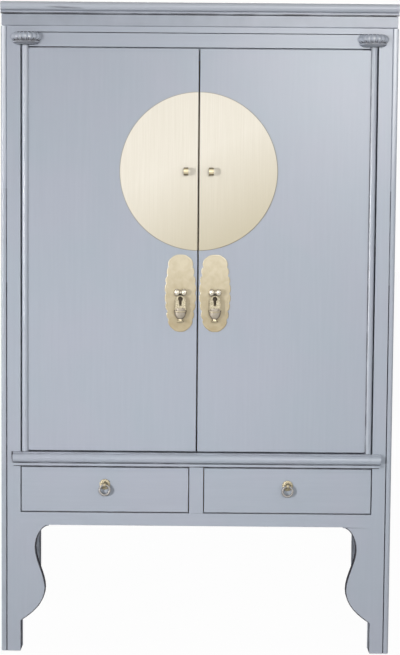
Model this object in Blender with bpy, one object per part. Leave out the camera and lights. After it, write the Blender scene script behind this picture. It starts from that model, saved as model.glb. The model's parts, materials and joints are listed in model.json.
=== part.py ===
"""Chinese wedding cabinet: a lacquered cupboard on tall legs, with pivot doors, a brass disc and two drawers.

Metres, +Z up, the front towards -Y. The origin is on the floor, under the middle of the object's box.
"""

import math

import bmesh
import bpy
from mathutils import Matrix, Vector

# Overall sizes
WIDTH = 1.050                   # over the corner posts
DEPTH = 0.520                   # over the corner posts
HEIGHT = 1.7405                 # floor to the top of the top board

# Gaps
FIT = 0.0003                    # between faces that touch
DOOR_GAP = 0.003                # above and below a door leaf
DOOR_SPLIT = 0.003              # between the two leaves
DRAWER_GAP = 0.0023             # around a drawer front
PIN_CLEARANCE = 0.0004          # round a turning pin

# Corner posts
POST_WIDTH = 0.0520
POST_DEPTH = 0.055
BEAD_WIDTH = 0.0137             # bead on the outer corner of a front post
BEAD_RADIUS = 0.007
QUIRK_WIDTH = 0.0028            # groove beside the bead
QUIRK_DEPTH = 0.002

# Rails
RAIL_THICKNESS = 0.028
SIDE_RAIL_INSET = 0.003         # side rails and frieze behind the posts' outer faces
LEG_HEIGHT = 0.3465             # floor to the bottom rails
BOTTOM_RAIL_HEIGHT = 0.0345
DRAWER_OPENING = 0.1255
WAIST_HEIGHT = 0.0395
WAIST_REVEAL = 0.004            # plain strip under the moulded edge
WAIST_LEDGE = 0.006             # waist rail's top edge in front of the posts
WAIST_LAP = 0.0235              # its ends over the posts
WAIST_END_SLANT = 0.005
LINTEL_HEIGHT = 0.036
LINTEL_REVEAL = 0.002           # dark line above the lintel
DOOR_STOP_DROP = 0.012          # lip behind the leaves
DOOR_STOP_SHORT = 0.042         # how far the lip ends before the posts
HEADER_HEIGHT = 0.015
SIDE_HEADER_HEIGHT = 0.037
FRIEZE_HEIGHT = 0.0317
FRIEZE_PROUD = 0.003
FRIEZE_SEAM = 0.002             # dark line under the top board
FRIEZE_SEAM_DEPTH = 0.006
TENON_LENGTH = 0.020
TENON_THICKNESS = 0.008
TENON_SHOULDER = 0.004

# Moulded edge shared by the top board and the waist rail
ROUND_HEIGHT = 0.0237
ROUND_PROUD = 0.012
EDGE_QUIRK = 0.002
FILLET_HEIGHT = 0.0058
FILLET_PROUD = 0.006
TOP_OVERHANG = 0.013            # the round in front of the posts
TOP_END_INSET = 0.0006          # the sawn ends inside the posts' outer faces

# Leg brackets
BRACKET_THICKNESS = 0.020
BRACKET_REACH = 0.076           # post to the tip under the rail
BRACKET_TIP = 0.0015            # thickness left at the tip
HOLLOW_REACH = 0.0405           # post to the deepest point of the upper hollow
HOLLOW_DROP = 0.061             # rail to that point
BELLY_REACH = 0.067             # post to the crest of the lower belly
BELLY_DROP = 0.173
BRACKET_DROP = 0.263            # rail to where the bracket runs out on the leg

# Panels, floor and shelf
PANEL_TONGUE = 0.010
SIDE_PANEL_THICKNESS = 0.014
SIDE_PANEL_INSET = 0.008
BACK_PANEL_THICKNESS = 0.010
BACK_PANEL_INSET = 0.013
FLOOR_THICKNESS = 0.016
FLOOR_DROP = 0.006              # floor below the top of the waist rail
FLOOR_TONGUE = 0.008
SHELF_THICKNESS = 0.018
SHELF_RISE = 0.545              # waist rail to the shelf
SHELF_SETBACK = 0.004           # shelf behind the front posts
HOUSING_DEPTH = 0.005

# Doors
LEAF_THICKNESS = 0.018
LEAF_INSET = 0.001              # leaf behind the posts' faces
LEAF_TONGUE = 0.0045            # into the column
LEAF_TONGUE_THICKNESS = 0.008
EDGE_SOFTENING = 0.0015
COLUMN_DIAMETER = 0.019
COLUMN_GAP = 0.0033             # column to post
PIVOT_INSET = 0.005             # pivot axis behind the posts' faces
PIN_DIAMETER = 0.009
PIN_LENGTH = 0.020
BATTEN_HEIGHT = 0.045
BATTEN_THICKNESS = 0.021
BATTEN_HOUSING = 0.005
BATTEN_MARGIN = 0.030           # batten ends inside the leaf's edges
BATTEN_OFFSET = 0.170           # batten middle from the leaf's end

# Capitals over the upper pivots
CAPITAL_WIDTH = 0.085
CAPITAL_PROUD = 0.027
CAPITAL_INSET = 0.003           # its middle inside the pivot's axis
CAPITAL_HEIGHT = 0.032
CAPITAL_RIBS = 9
RIB_DEPTH = 0.0022
LIP_WIDTH = 0.054               # at its foot
LIP_TOP_WIDTH = 0.072
LIP_HEIGHT = 0.009
MELON_ANGLE = 42                # how far the ribs bend over, in degrees
SOCKET_WALL = 0.007             # wood round the pivot socket

# Brass on the doors
DISC_RADIUS = 0.2078
DISC_DROP = 0.3227              # top of the leaf to the disc's middle
DISC_THICKNESS = 0.0016
EYE_OFFSET = 0.0335             # lock eye from the split
EYE_WIDTH = 0.0125
EYE_HEIGHT = 0.021
EYE_REACH = 0.022
EYE_STRIP = 0.0035
EYE_ROOT = 0.010                # prongs into the leaf
PLATE_HEIGHT = 0.207
PLATE_WIDTH = 0.083
PLATE_OFFSET = 0.046            # plate from the split
PLATE_DROP = 0.3233             # disc's middle to the plate's middle
PLATE_THICKNESS = 0.0015
SCALLOP_BULGE = 0.0022
BALL_DIAMETER = 0.015
BALL_SPACING = 0.0192
BALL_STANDOFF = 0.0105          # plate to the middle of the balls
BALL_RISE = 0.003               # plate's middle to the balls
STEM_DIAMETER = 0.007
STEM_ROOT = 0.008
HINGE_PIN_DIAMETER = 0.0048

# Basket drop handle, measured down from its hinge pin
HANDLE_EYE_DIAMETER = 0.0108
HANDLE_EYE_PLAY = 0.0004
ARCH_TOP = 0.0084
ARCH_HEIGHT = 0.0395
ARCH_WIDTH = 0.029
ARCH_THICKNESS = 0.006
KEYHOLE_DROP = 0.0175
KEYHOLE_DIAMETER = 0.0125
KEYHOLE_SLOT = 0.006
KEYHOLE_LENGTH = 0.018
COLLAR_WIDTH = 0.026
RIM_DROP = 0.0475
RIM_HEIGHT = 0.005
RIM_WIDTH = 0.034
BOWL_HEIGHT = 0.018
NECK_WIDTH = 0.009
NECK_HEIGHT = 0.0025
KNOB_WIDTH = 0.0165
KNOB_HEIGHT = 0.0075
BASKET_FLATNESS = 0.5           # depth over width

# Drawers
DRAWER_FRONT_THICKNESS = 0.020
DRAWER_FRONT_INSET = 0.001
DRAWER_LENGTH = 0.440           # front face to the back of the box
DRAWER_SIDE_THICKNESS = 0.012
DRAWER_SIDE_HEIGHT = 0.100
DRAWER_SIDE_INSET = 0.001       # side behind the end of its front
DRAWER_LAP = 0.008              # sides into the front
DRAWER_BOTTOM_THICKNESS = 0.008
DRAWER_BOTTOM_RISE = 0.008      # bottom above the lower edge of the sides
DRAWER_GROOVE = 0.005
DIVIDER_WIDTH = 0.0375
DIVIDER_TENON = 0.008
RUNNER_WIDTH = 0.030            # under a drawer side
RUNNER_DEPTH = 0.030
RUNNER_TENON = 0.008
GUIDE_HEIGHT = 0.030

# Ring pulls on the drawers
ROSETTE_DIAMETER = 0.029
ROSETTE_THICKNESS = 0.0018
ROSETTE_PETALS = 12
PETAL_DEPTH = 0.0012
KNUCKLE_DIAMETER = 0.0125
KNUCKLE_WIDTH = 0.006
KNUCKLE_STANDOFF = 0.0065
KNUCKLE_BORE = 0.0068
PULL_RISE = 0.0145              # drawer front's middle to the ring's hinge
RING_DIAMETER = 0.0285          # middle of the wire
RING_WIRE = 0.005
PULL_ROOT = 0.010

# Facets
ROUND_STEPS = 24
FINE_STEPS = 8

# Levels above the floor
BOTTOM_RAIL_TOP = LEG_HEIGHT + BOTTOM_RAIL_HEIGHT
WAIST_BOTTOM = BOTTOM_RAIL_TOP + DRAWER_OPENING
WAIST_TOP = WAIST_BOTTOM + WAIST_HEIGHT
TOP_BOTTOM = HEIGHT - FILLET_HEIGHT - EDGE_QUIRK - ROUND_HEIGHT
FRIEZE_TOP = TOP_BOTTOM - FIT
FRIEZE_BOTTOM = FRIEZE_TOP - FRIEZE_HEIGHT
POST_TOP = FRIEZE_BOTTOM - FIT
HEADER_BOTTOM = FRIEZE_BOTTOM - HEADER_HEIGHT
SIDE_HEADER_BOTTOM = FRIEZE_BOTTOM - SIDE_HEADER_HEIGHT
LINTEL_TOP = HEADER_BOTTOM - LINTEL_REVEAL
LINTEL_BOTTOM = LINTEL_TOP - LINTEL_HEIGHT
FLOOR_TOP = WAIST_TOP - FLOOR_DROP
SHELF_BOTTOM = WAIST_TOP + SHELF_RISE
LEAF_BOTTOM = WAIST_TOP + DOOR_GAP
LEAF_TOP = LINTEL_BOTTOM - DOOR_GAP
CAPITAL_TOP = LINTEL_TOP
CAPITAL_BOTTOM = CAPITAL_TOP - CAPITAL_HEIGHT
DISC_LEVEL = LEAF_TOP - DISC_DROP
PLATE_LEVEL = DISC_LEVEL - PLATE_DROP
HANDLE_LEVEL = PLATE_LEVEL + BALL_RISE
DRAWER_BOTTOM_EDGE = BOTTOM_RAIL_TOP + DRAWER_GAP
DRAWER_TOP_EDGE = WAIST_BOTTOM - DRAWER_GAP
PULL_LEVEL = (DRAWER_BOTTOM_EDGE + DRAWER_TOP_EDGE) / 2 + PULL_RISE
RUNNER_TOP = BOTTOM_RAIL_TOP + FIT

# Distances from the middle plane
HALF = WIDTH / 2
INNER = HALF - POST_WIDTH
PIVOT_X = INNER - COLUMN_GAP - COLUMN_DIAMETER / 2
LEAF_OUTER = PIVOT_X - COLUMN_DIAMETER / 2 - FIT
LEAF_INNER = DOOR_SPLIT / 2
SIDE_FACE = HALF - SIDE_RAIL_INSET
SIDE_PANEL_OUTER = HALF - SIDE_PANEL_INSET
SIDE_PANEL_INNER = SIDE_PANEL_OUTER - SIDE_PANEL_THICKNESS
EYE_X = EYE_OFFSET
PLATE_X = PLATE_OFFSET
DRAWER_INNER = DIVIDER_WIDTH / 2 + DRAWER_GAP
DRAWER_OUTER = INNER - DRAWER_GAP
PULL_X = (DRAWER_INNER + DRAWER_OUTER) / 2

# How far the brass stands in front of the posts
DISC_FACE = DISC_THICKNESS + FIT - LEAF_INSET
PLATE_FACE = PLATE_THICKNESS + FIT - LEAF_INSET
BASKET_DEPTH = RIM_WIDTH * BASKET_FLATNESS
HANDLE_REACH = PLATE_FACE + BALL_STANDOFF + max(BASKET_DEPTH, BALL_DIAMETER) / 2
FRONT_REACH = max(
    CAPITAL_PROUD + FIT,
    WAIST_LEDGE + max(ROUND_PROUD, FILLET_PROUD),
    TOP_OVERHANG,
    DISC_FACE + EYE_REACH,
    HANDLE_REACH,
)

# Depths, from the front faces of the posts back to theirs at the back
FRONT = (FRONT_REACH - DEPTH) / 2
BACK = FRONT + DEPTH
PIVOT_Y = FRONT + PIVOT_INSET
LEAF_FRONT = FRONT + LEAF_INSET
LEAF_BACK = LEAF_FRONT + LEAF_THICKNESS
BACK_POST_FRONT = BACK - POST_DEPTH
BACK_PANEL_BACK = BACK - BACK_PANEL_INSET
BACK_PANEL_FRONT = BACK_PANEL_BACK - BACK_PANEL_THICKNESS
HANDLE_Y = FRONT - PLATE_FACE - BALL_STANDOFF
DRAWER_FACE = FRONT + DRAWER_FRONT_INSET
ROSETTE_FACE = DRAWER_FACE - FIT - ROSETTE_THICKNESS
PULL_Y = ROSETTE_FACE - KNUCKLE_STANDOFF

SIDES = {"left": -1, "right": 1}

# Linear colour, roughness and metallic value of each finish
FINISHES = {
    "lacquer": ((0.42, 0.45, 0.52), 0.45, 0.0),
    "plain_wood": ((0.50, 0.35, 0.21), 0.65, 0.0),
    "brass": ((0.83, 0.72, 0.50), 0.35, 1.0),
    "pale_brass": ((0.70, 0.66, 0.55), 0.40, 1.0),
}


def clear_scene():
    for obj in list(bpy.data.objects):
        bpy.data.objects.remove(obj)


def finish_material(name, finish):
    colour, roughness, metallic = FINISHES[finish]
    material = bpy.data.materials.new(name)
    material.use_nodes = True
    shader = material.node_tree.nodes["Principled BSDF"]
    shader.inputs["Base Color"].default_value = (*colour, 1.0)
    shader.inputs["Roughness"].default_value = roughness
    shader.inputs["Metallic"].default_value = metallic
    return material


def mesh_of(shape, name):
    bmesh.ops.recalc_face_normals(shape, faces=shape.faces)
    mesh = bpy.data.meshes.new(name)
    shape.to_mesh(mesh)
    shape.free()
    return mesh


def piece(name, shape, finish, smooth=False):
    """A named object made from a shape in world coordinates."""
    mesh = mesh_of(shape, name)
    mesh.materials.append(finish_material(name, finish))
    if smooth:
        mesh.shade_smooth()
        mesh.set_sharp_from_angle(angle=math.radians(40))
    obj = bpy.data.objects.new(name, mesh)
    bpy.context.scene.collection.objects.link(obj)
    return obj


def combine(obj, shape, operation):
    """Adds a shape to an object, or takes it away, and keeps the result as the object's mesh."""
    tool = bpy.data.objects.new("tool", mesh_of(shape, "tool"))
    bpy.context.scene.collection.objects.link(tool)
    modifier = obj.modifiers.new("combine", "BOOLEAN")
    modifier.operation = operation
    modifier.object = tool
    graph = bpy.context.evaluated_depsgraph_get()
    result = bpy.data.meshes.new_from_object(obj.evaluated_get(graph))
    obj.modifiers.remove(modifier)
    obj.data = result
    bpy.data.objects.remove(tool)


def fuse(obj, shape):
    combine(obj, shape, "UNION")


def cut(obj, shape):
    combine(obj, shape, "DIFFERENCE")


def block(low, high, room=0.0):
    """A box between two corners, grown by room on every side."""
    low = Vector(low) - Vector((room, room, room))
    high = Vector(high) + Vector((room, room, room))
    shape = bmesh.new()
    bmesh.ops.create_cube(shape, size=1.0)
    bmesh.ops.scale(shape, vec=high - low, verts=shape.verts)
    bmesh.ops.translate(shape, vec=(low + high) / 2, verts=shape.verts)
    return shape


def placed(first, second, third, along):
    """A point from its two outline coordinates and its place along an axis."""
    if along == "x":
        return (third, first, second)
    if along == "y":
        return (first, third, second)
    return (first, second, third)


def bar(outline, along, start_of, end_of):
    """An outline run along an axis. Each of its points starts and ends where the two functions say."""
    shape = bmesh.new()
    near = [shape.verts.new(placed(u, v, start_of(u, v), along)) for u, v in outline]
    far = [shape.verts.new(placed(u, v, end_of(u, v), along)) for u, v in outline]
    shape.faces.new(near)
    shape.faces.new(far)
    for index in range(len(outline)):
        after = (index + 1) % len(outline)
        shape.faces.new((near[index], near[after], far[after], far[index]))
    return shape


def slab(outline, along, start, end):
    """An outline run straight along an axis: (y, z) along x, (x, z) along y or (x, y) along z."""
    return bar(outline, along, lambda u, v: start, lambda u, v: end)


def turned(profile, centre, along="z", steps=ROUND_STEPS):
    """A profile of (radius, height) points turned about an axis through centre."""
    shape = bmesh.new()
    points = [shape.verts.new((radius, 0, height)) for radius, height in profile]
    edges = [shape.edges.new(pair) for pair in zip(points, points[1:])]
    bmesh.ops.spin(
        shape, geom=points + edges, cent=(0, 0, 0), axis=(0, 0, 1),
        angle=2 * math.pi, steps=steps, use_merge=True,
    )
    bmesh.ops.remove_doubles(shape, verts=shape.verts, dist=1e-6)
    if along == "x":
        bmesh.ops.rotate(shape, matrix=Matrix.Rotation(math.pi / 2, 3, "Y"), verts=shape.verts)
    if along == "y":
        bmesh.ops.rotate(shape, matrix=Matrix.Rotation(math.pi / 2, 3, "X"), verts=shape.verts)
    bmesh.ops.translate(shape, vec=centre, verts=shape.verts)
    return shape


def rod(radius, start, end, centre, along="z", steps=ROUND_STEPS):
    """A plain round rod, from start to end along an axis through centre."""
    # a rod along y is turned from +Z to -Y
    low, high = (-end, -start) if along == "y" else (start, end)
    return turned([(0, low), (radius, low), (radius, high), (0, high)], centre, along, steps)


def arc(centre, radius, start, end, steps):
    """Points on an arc, angles in degrees."""
    points = []
    for step in range(steps + 1):
        angle = math.radians(start + (end - start) * step / steps)
        points.append((centre[0] + radius * math.cos(angle), centre[1] + radius * math.sin(angle)))
    return points


def bezier(start, start_pull, end_pull, end, steps):
    """Points along a cubic curve, without the last one."""
    points = []
    for step in range(steps):
        t = step / steps
        weights = ((1 - t) ** 3, 3 * t * (1 - t) ** 2, 3 * t * t * (1 - t), t ** 3)
        ends = (start, start_pull, end_pull, end)
        points.append(tuple(sum(w * p[axis] for w, p in zip(weights, ends)) for axis in (0, 1)))
    return points


def handed(shape, side):
    """A shape drawn for the right of the cabinet, put on the given side."""
    if side < 0:
        bmesh.ops.scale(shape, vec=(-1, 1, 1), verts=shape.verts)
    return shape


def soften_front(shape, front):
    """Rounds the edges of the face that lies at the front."""
    edges = [edge for edge in shape.edges if all(abs(v.co.y - front) < 1e-6 for v in edge.verts)]
    bmesh.ops.bevel(
        shape, geom=edges, offset=EDGE_SOFTENING, affect="EDGES", segments=2, profile=0.5, material=-1
    )
    return shape


def moulded_edge():
    """The moulded edge from its foot to its top, as (distance out, height) points."""
    points = [(FILLET_PROUD, 0), (FILLET_PROUD, FILLET_HEIGHT), (0, FILLET_HEIGHT)]
    middle = FILLET_HEIGHT + EDGE_QUIRK + ROUND_HEIGHT / 2
    for out, up in arc((0, 0), 1, -90, 90, FINE_STEPS):
        points.append((ROUND_PROUD * out, middle + ROUND_HEIGHT / 2 * up))
    return points


def rail(name, low, high, along, posts, shape=None, groove_low=0.0, groove_high=0.0, across=None):
    """A rail with a stub tenon on each end, and a mortise for it in each of its two posts."""
    obj = piece(name, shape or block(low, high), "lacquer")
    run, width = (0, 1) if along == "x" else (1, 0)
    middle = (low[width] + high[width]) / 2 if across is None else across
    for end, post in zip((-1, 1), posts):
        start, stop = [0, 0, 0], [0, 0, 0]
        shoulder = low[run] if end < 0 else high[run]
        start[run] = shoulder - TENON_LENGTH if end < 0 else shoulder - TENON_LENGTH / 2
        stop[run] = shoulder + TENON_LENGTH / 2 if end < 0 else shoulder + TENON_LENGTH
        start[width], stop[width] = middle - TENON_THICKNESS / 2, middle + TENON_THICKNESS / 2
        start[2] = low[2] + groove_low + TENON_SHOULDER
        stop[2] = high[2] - groove_high - TENON_SHOULDER
        fuse(obj, block(start, stop))
        cut(post, block(start, stop, FIT))
    return obj


def build_posts():
    """Front posts with a corner bead, and plain back posts."""
    quirk_middle = BEAD_WIDTH + QUIRK_WIDTH / 2
    beaded = [(INNER, 0), (HALF - BEAD_WIDTH - QUIRK_WIDTH, 0), (HALF - quirk_middle, QUIRK_DEPTH)]
    beaded.append((HALF - BEAD_WIDTH, 0))
    beaded += arc((HALF - BEAD_RADIUS, BEAD_RADIUS), BEAD_RADIUS, -90, 0, FINE_STEPS // 2)
    beaded += [(HALF, BEAD_WIDTH), (HALF - QUIRK_DEPTH, quirk_middle), (HALF, BEAD_WIDTH + QUIRK_WIDTH)]
    beaded += [(HALF, POST_DEPTH), (INNER, POST_DEPTH)]
    outline = [(x, FRONT + y) for x, y in beaded]
    posts = {}
    for name, side in SIDES.items():
        front_post = handed(slab(outline, "z", 0, POST_TOP), side)
        back_post = handed(block((INNER, BACK_POST_FRONT, 0), (HALF, BACK, POST_TOP)), side)
        posts["front", name] = piece(f"front_{name}_post", front_post, "lacquer")
        posts["back", name] = piece(f"back_{name}_post", back_post, "lacquer")
    return posts


def build_top_board():
    """One board with the moulded edge along its front. Its ends are sawn square and its back edge is plain."""
    root = FRONT - TOP_OVERHANG + ROUND_PROUD
    profile = [(BACK, TOP_BOTTOM)]
    profile += [(root - out, TOP_BOTTOM + up) for out, up in moulded_edge()]
    profile.append((BACK, HEIGHT))
    end = HALF - TOP_END_INSET
    piece("top_board", slab(profile, "x", -end, end), "lacquer")


def frieze_profile(face, back):
    """Frieze in section, (depth, height): a seam under the top board and a rounded lower edge."""
    step = 1 if back > face else -1
    points = [(back, FRIEZE_TOP), (face + step * FRIEZE_SEAM_DEPTH, FRIEZE_TOP)]
    points.append((face + step * FRIEZE_SEAM_DEPTH, FRIEZE_TOP - FRIEZE_SEAM))
    points.append((face, FRIEZE_TOP - FRIEZE_SEAM))
    centre = (face + step * FRIEZE_PROUD, FRIEZE_BOTTOM + FRIEZE_PROUD)
    start, end = (180, 270) if step > 0 else (0, -90)
    points += arc(centre, FRIEZE_PROUD, start, end, FINE_STEPS // 2)
    points.append((back, FRIEZE_BOTTOM))
    return points


def build_top_rails(posts):
    """Frieze over the posts, mitred at the front corners, with a header under it between the posts."""
    face, back = FRONT - FRIEZE_PROUD, FRONT + RAIL_THICKNESS
    low = (-INNER + FIT, FRONT, HEADER_BOTTOM)
    high = (INNER - FIT, back, FRIEZE_BOTTOM)
    front_posts = (posts["front", "left"], posts["front", "right"])
    obj = rail("front_top_rail", low, high, "x", front_posts)

    def mitre(y, z):
        return SIDE_FACE - (y - face) - FIT / 2

    profile = frieze_profile(face, back)
    fuse(obj, bar(profile, "x", lambda y, z: -mitre(y, z), mitre))
    # a tongue of the header runs up into the frieze so that the two are one board
    root = FRIEZE_BOTTOM + FRIEZE_HEIGHT / 2
    fuse(obj, block((low[0], FRONT + FRIEZE_PROUD, HEADER_BOTTOM), (high[0], back - FIT, root)))

    for name, side in SIDES.items():
        inner_face = SIDE_FACE - RAIL_THICKNESS
        ends = (side * inner_face, side * SIDE_FACE)
        low = (min(ends), FRONT + POST_DEPTH + FIT, SIDE_HEADER_BOTTOM)
        high = (max(ends), BACK_POST_FRONT - FIT, FRIEZE_BOTTOM)
        pair = (posts["front", name], posts["back", name])
        obj = rail(f"{name}_top_rail", low, high, "y", pair, groove_low=PANEL_TONGUE)
        profile = frieze_profile(side * SIDE_FACE, side * inner_face)
        fuse(obj, bar(
            profile, "y", lambda x, z: face + (SIDE_FACE - abs(x)) + FIT / 2, lambda x, z: BACK
        ))
        rooted = (low[0] + FRIEZE_PROUD, low[1], low[2]), (high[0] - FRIEZE_PROUD, high[1], root)
        fuse(obj, block(*rooted))

    low = (-INNER + FIT, BACK - RAIL_THICKNESS, SIDE_HEADER_BOTTOM)
    high = (INNER - FIT, BACK, FRIEZE_BOTTOM + FRIEZE_HEIGHT)
    back_posts = (posts["back", "left"], posts["back", "right"])
    obj = rail("back_top_rail", low, high, "x", back_posts, groove_low=PANEL_TONGUE, groove_high=FRIEZE_HEIGHT)
    reach = SIDE_FACE - RAIL_THICKNESS - FIT
    fuse(obj, block((-reach, low[1], FRIEZE_BOTTOM), (reach, BACK, FRIEZE_TOP)))


def build_bottom_rails(posts):
    low, high = (-INNER + FIT, FRONT, LEG_HEIGHT), (INNER - FIT, FRONT + RAIL_THICKNESS, BOTTOM_RAIL_TOP)
    rail("front_bottom_rail", low, high, "x", (posts["front", "left"], posts["front", "right"]))
    low, high = (-INNER + FIT, BACK - RAIL_THICKNESS, LEG_HEIGHT), (INNER - FIT, BACK, BOTTOM_RAIL_TOP)
    back_posts = (posts["back", "left"], posts["back", "right"])
    rail("back_bottom_rail", low, high, "x", back_posts, groove_high=PANEL_TONGUE)
    for name, side in SIDES.items():
        ends = (side * (SIDE_FACE - RAIL_THICKNESS), side * SIDE_FACE)
        low = (min(ends), FRONT + POST_DEPTH + FIT, LEG_HEIGHT)
        high = (max(ends), BACK_POST_FRONT - FIT, BOTTOM_RAIL_TOP)
        pair = (posts["front", name], posts["back", name])
        rail(f"{name}_bottom_rail", low, high, "y", pair, groove_high=PANEL_TONGUE)


def build_brackets():
    """Curved brackets in the corners under the front bottom rail: a hollow above, a belly below."""
    rail_line = LEG_HEIGHT - FIT
    tip = (INNER - BRACKET_REACH, rail_line - BRACKET_TIP)
    hollow = (INNER - HOLLOW_REACH, LEG_HEIGHT - HOLLOW_DROP)
    belly = (INNER - BELLY_REACH, LEG_HEIGHT - BELLY_DROP)
    foot = (INNER - FIT, LEG_HEIGHT - BRACKET_DROP)
    shoulder = (BRACKET_REACH - HOLLOW_REACH) / 2
    fall = HOLLOW_DROP / 2
    sway = (hollow[1] - belly[1]) / 3
    swell = belly[1] - foot[1]
    outline = [(INNER - FIT, rail_line), (tip[0], rail_line)]
    outline += bezier(tip, (tip[0] + shoulder, tip[1]), (hollow[0], hollow[1] + fall), hollow, FINE_STEPS)
    outline += bezier(hollow, (hollow[0], hollow[1] - sway), (belly[0], belly[1] + sway), belly, FINE_STEPS)
    run_out = (INNER - 0.45 * BELLY_REACH, foot[1] + 0.2 * swell)
    outline += bezier(belly, (belly[0], belly[1] - 0.46 * swell), run_out, foot, FINE_STEPS)
    outline.append(foot)
    for name, side in SIDES.items():
        shape = handed(slab(outline, "y", FRONT, FRONT + BRACKET_THICKNESS), side)
        piece(f"{name}_bracket", shape, "lacquer")


def build_waist_rail(posts):
    """Rail with the moulded edge, whose ends lap over the posts. The lower door pins turn in it."""
    back = FRONT + RAIL_THICKNESS
    edge_foot = WAIST_BOTTOM + WAIST_REVEAL
    profile = [(back, WAIST_BOTTOM), (FRONT - 2 * FIT, WAIST_BOTTOM), (FRONT - 2 * FIT, edge_foot)]
    profile += [(FRONT - WAIST_LEDGE - out, edge_foot + up) for out, up in moulded_edge()]
    profile += [(FRONT - WAIST_LEDGE, WAIST_TOP), (back, WAIST_TOP)]

    def lapped_end(y, z):
        return INNER + WAIST_LAP - WAIST_END_SLANT * (WAIST_TOP - z) / WAIST_HEIGHT

    shape = bar(profile, "x", lambda y, z: -lapped_end(y, z), lapped_end)
    obj = piece("waist_rail", shape, "lacquer")
    shoulder = INNER - FIT
    for side in SIDES.values():
        low = (shoulder, FRONT - FIT, WAIST_BOTTOM - FIT)
        high = (HALF, back + FIT, WAIST_TOP + FIT)
        cut(obj, handed(block(low, high), side))
        socket = rod(PIN_DIAMETER / 2 + PIN_CLEARANCE, -PIN_LENGTH - FIT, PIN_LENGTH, (PIVOT_X, PIVOT_Y, WAIST_TOP))
        cut(obj, handed(socket, side))
        tenon_low = (shoulder - TENON_LENGTH / 2, FRONT + (RAIL_THICKNESS - TENON_THICKNESS) / 2)
        tenon_high = (shoulder + TENON_LENGTH, tenon_low[1] + TENON_THICKNESS)
        low = (*tenon_low, WAIST_BOTTOM + TENON_SHOULDER)
        high = (*tenon_high, FLOOR_TOP - FLOOR_THICKNESS)
        fuse(obj, handed(block(low, high), side))
        post = posts["front", "left" if side < 0 else "right"]
        cut(post, handed(block(low, high, FIT), side))
    return obj


def build_lintel(posts):
    """Rail over the doors: notched at its ends for the pivot sockets, with a stop lip behind the leaves."""
    notch_back = PIVOT_Y + PIN_DIAMETER / 2 + SOCKET_WALL + FIT
    back = FRONT + RAIL_THICKNESS
    low, high = (-INNER + FIT, FRONT, LINTEL_BOTTOM), (INNER - FIT, back, LINTEL_TOP)
    front_posts = (posts["front", "left"], posts["front", "right"])
    obj = rail("door_lintel", low, high, "x", front_posts, across=(notch_back + back) / 2)
    for side in SIDES.values():
        notch_low = (PIVOT_X - COLUMN_DIAMETER / 2 - 2 * FIT, FRONT - FIT, LINTEL_BOTTOM - FIT)
        cut(obj, handed(block(notch_low, (INNER, notch_back, LINTEL_TOP + FIT)), side))
    reach = INNER - DOOR_STOP_SHORT
    stop_low = (-reach, LEAF_BACK + FIT, LINTEL_BOTTOM - DOOR_STOP_DROP)
    fuse(obj, block(stop_low, (reach, back - FIT, LINTEL_BOTTOM + LINTEL_HEIGHT / 2)))


def capital_shape():
    """A half melon with upright ribs over a plain lip, and a socket block behind it for the door's pin."""
    face = FRONT - FIT
    body = CAPITAL_HEIGHT - LIP_HEIGHT
    foot_share, rim_share = LIP_WIDTH / CAPITAL_WIDTH, LIP_TOP_WIDTH / CAPITAL_WIDTH
    levels = [(0.0, foot_share, 0.0), (LIP_HEIGHT * 0.7, rim_share, 0.0), (LIP_HEIGHT * 0.9, rim_share, 0.0)]
    for share, lift in arc((0, 0), 1, -MELON_ANGLE, MELON_ANGLE, FINE_STEPS):
        rise = (lift / math.sin(math.radians(MELON_ANGLE)) + 1) / 2
        levels.append((LIP_HEIGHT + body * rise, share, RIB_DEPTH))
    columns = CAPITAL_RIBS * 4
    shape = bmesh.new()
    loops = []
    for up, size, depth in levels:
        loop = []
        for column in range(columns + 1):
            angle = math.pi * column / columns
            valley = 1 - abs(math.sin(CAPITAL_RIBS * angle)) ** 0.7
            across = CAPITAL_WIDTH / 2 * size - depth * valley
            proud = CAPITAL_PROUD * size - depth * valley
            x = PIVOT_X - CAPITAL_INSET - across * math.cos(angle)
            loop.append(shape.verts.new((x, face - proud * math.sin(angle), CAPITAL_BOTTOM + up)))
        loops.append(loop)
    for lower, upper in zip(loops, loops[1:]):
        for index in range(columns):
            shape.faces.new((lower[index], lower[index + 1], upper[index + 1], upper[index]))
        shape.faces.new((lower[-1], lower[0], upper[0], upper[-1]))
    shape.faces.new(loops[0])
    shape.faces.new(loops[-1])
    return shape


def build_capitals():
    socket_inner = PIVOT_X - COLUMN_DIAMETER / 2 - FIT
    socket_back = PIVOT_Y + PIN_DIAMETER / 2 + SOCKET_WALL
    for name, side in SIDES.items():
        obj = piece(f"{name}_capital", handed(capital_shape(), side), "lacquer")
        low = (socket_inner, FRONT - CAPITAL_PROUD / 4, CAPITAL_BOTTOM + LIP_HEIGHT / 2)
        high = (INNER - FIT, socket_back, CAPITAL_TOP - FIT)
        fuse(obj, handed(block(low, high), side))
        bore = PIN_DIAMETER / 2 + PIN_CLEARANCE
        socket = rod(bore, -CAPITAL_HEIGHT, PIN_LENGTH + FIT, (PIVOT_X, PIVOT_Y, CAPITAL_BOTTOM + LIP_HEIGHT))
        cut(obj, handed(socket, side))


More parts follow.
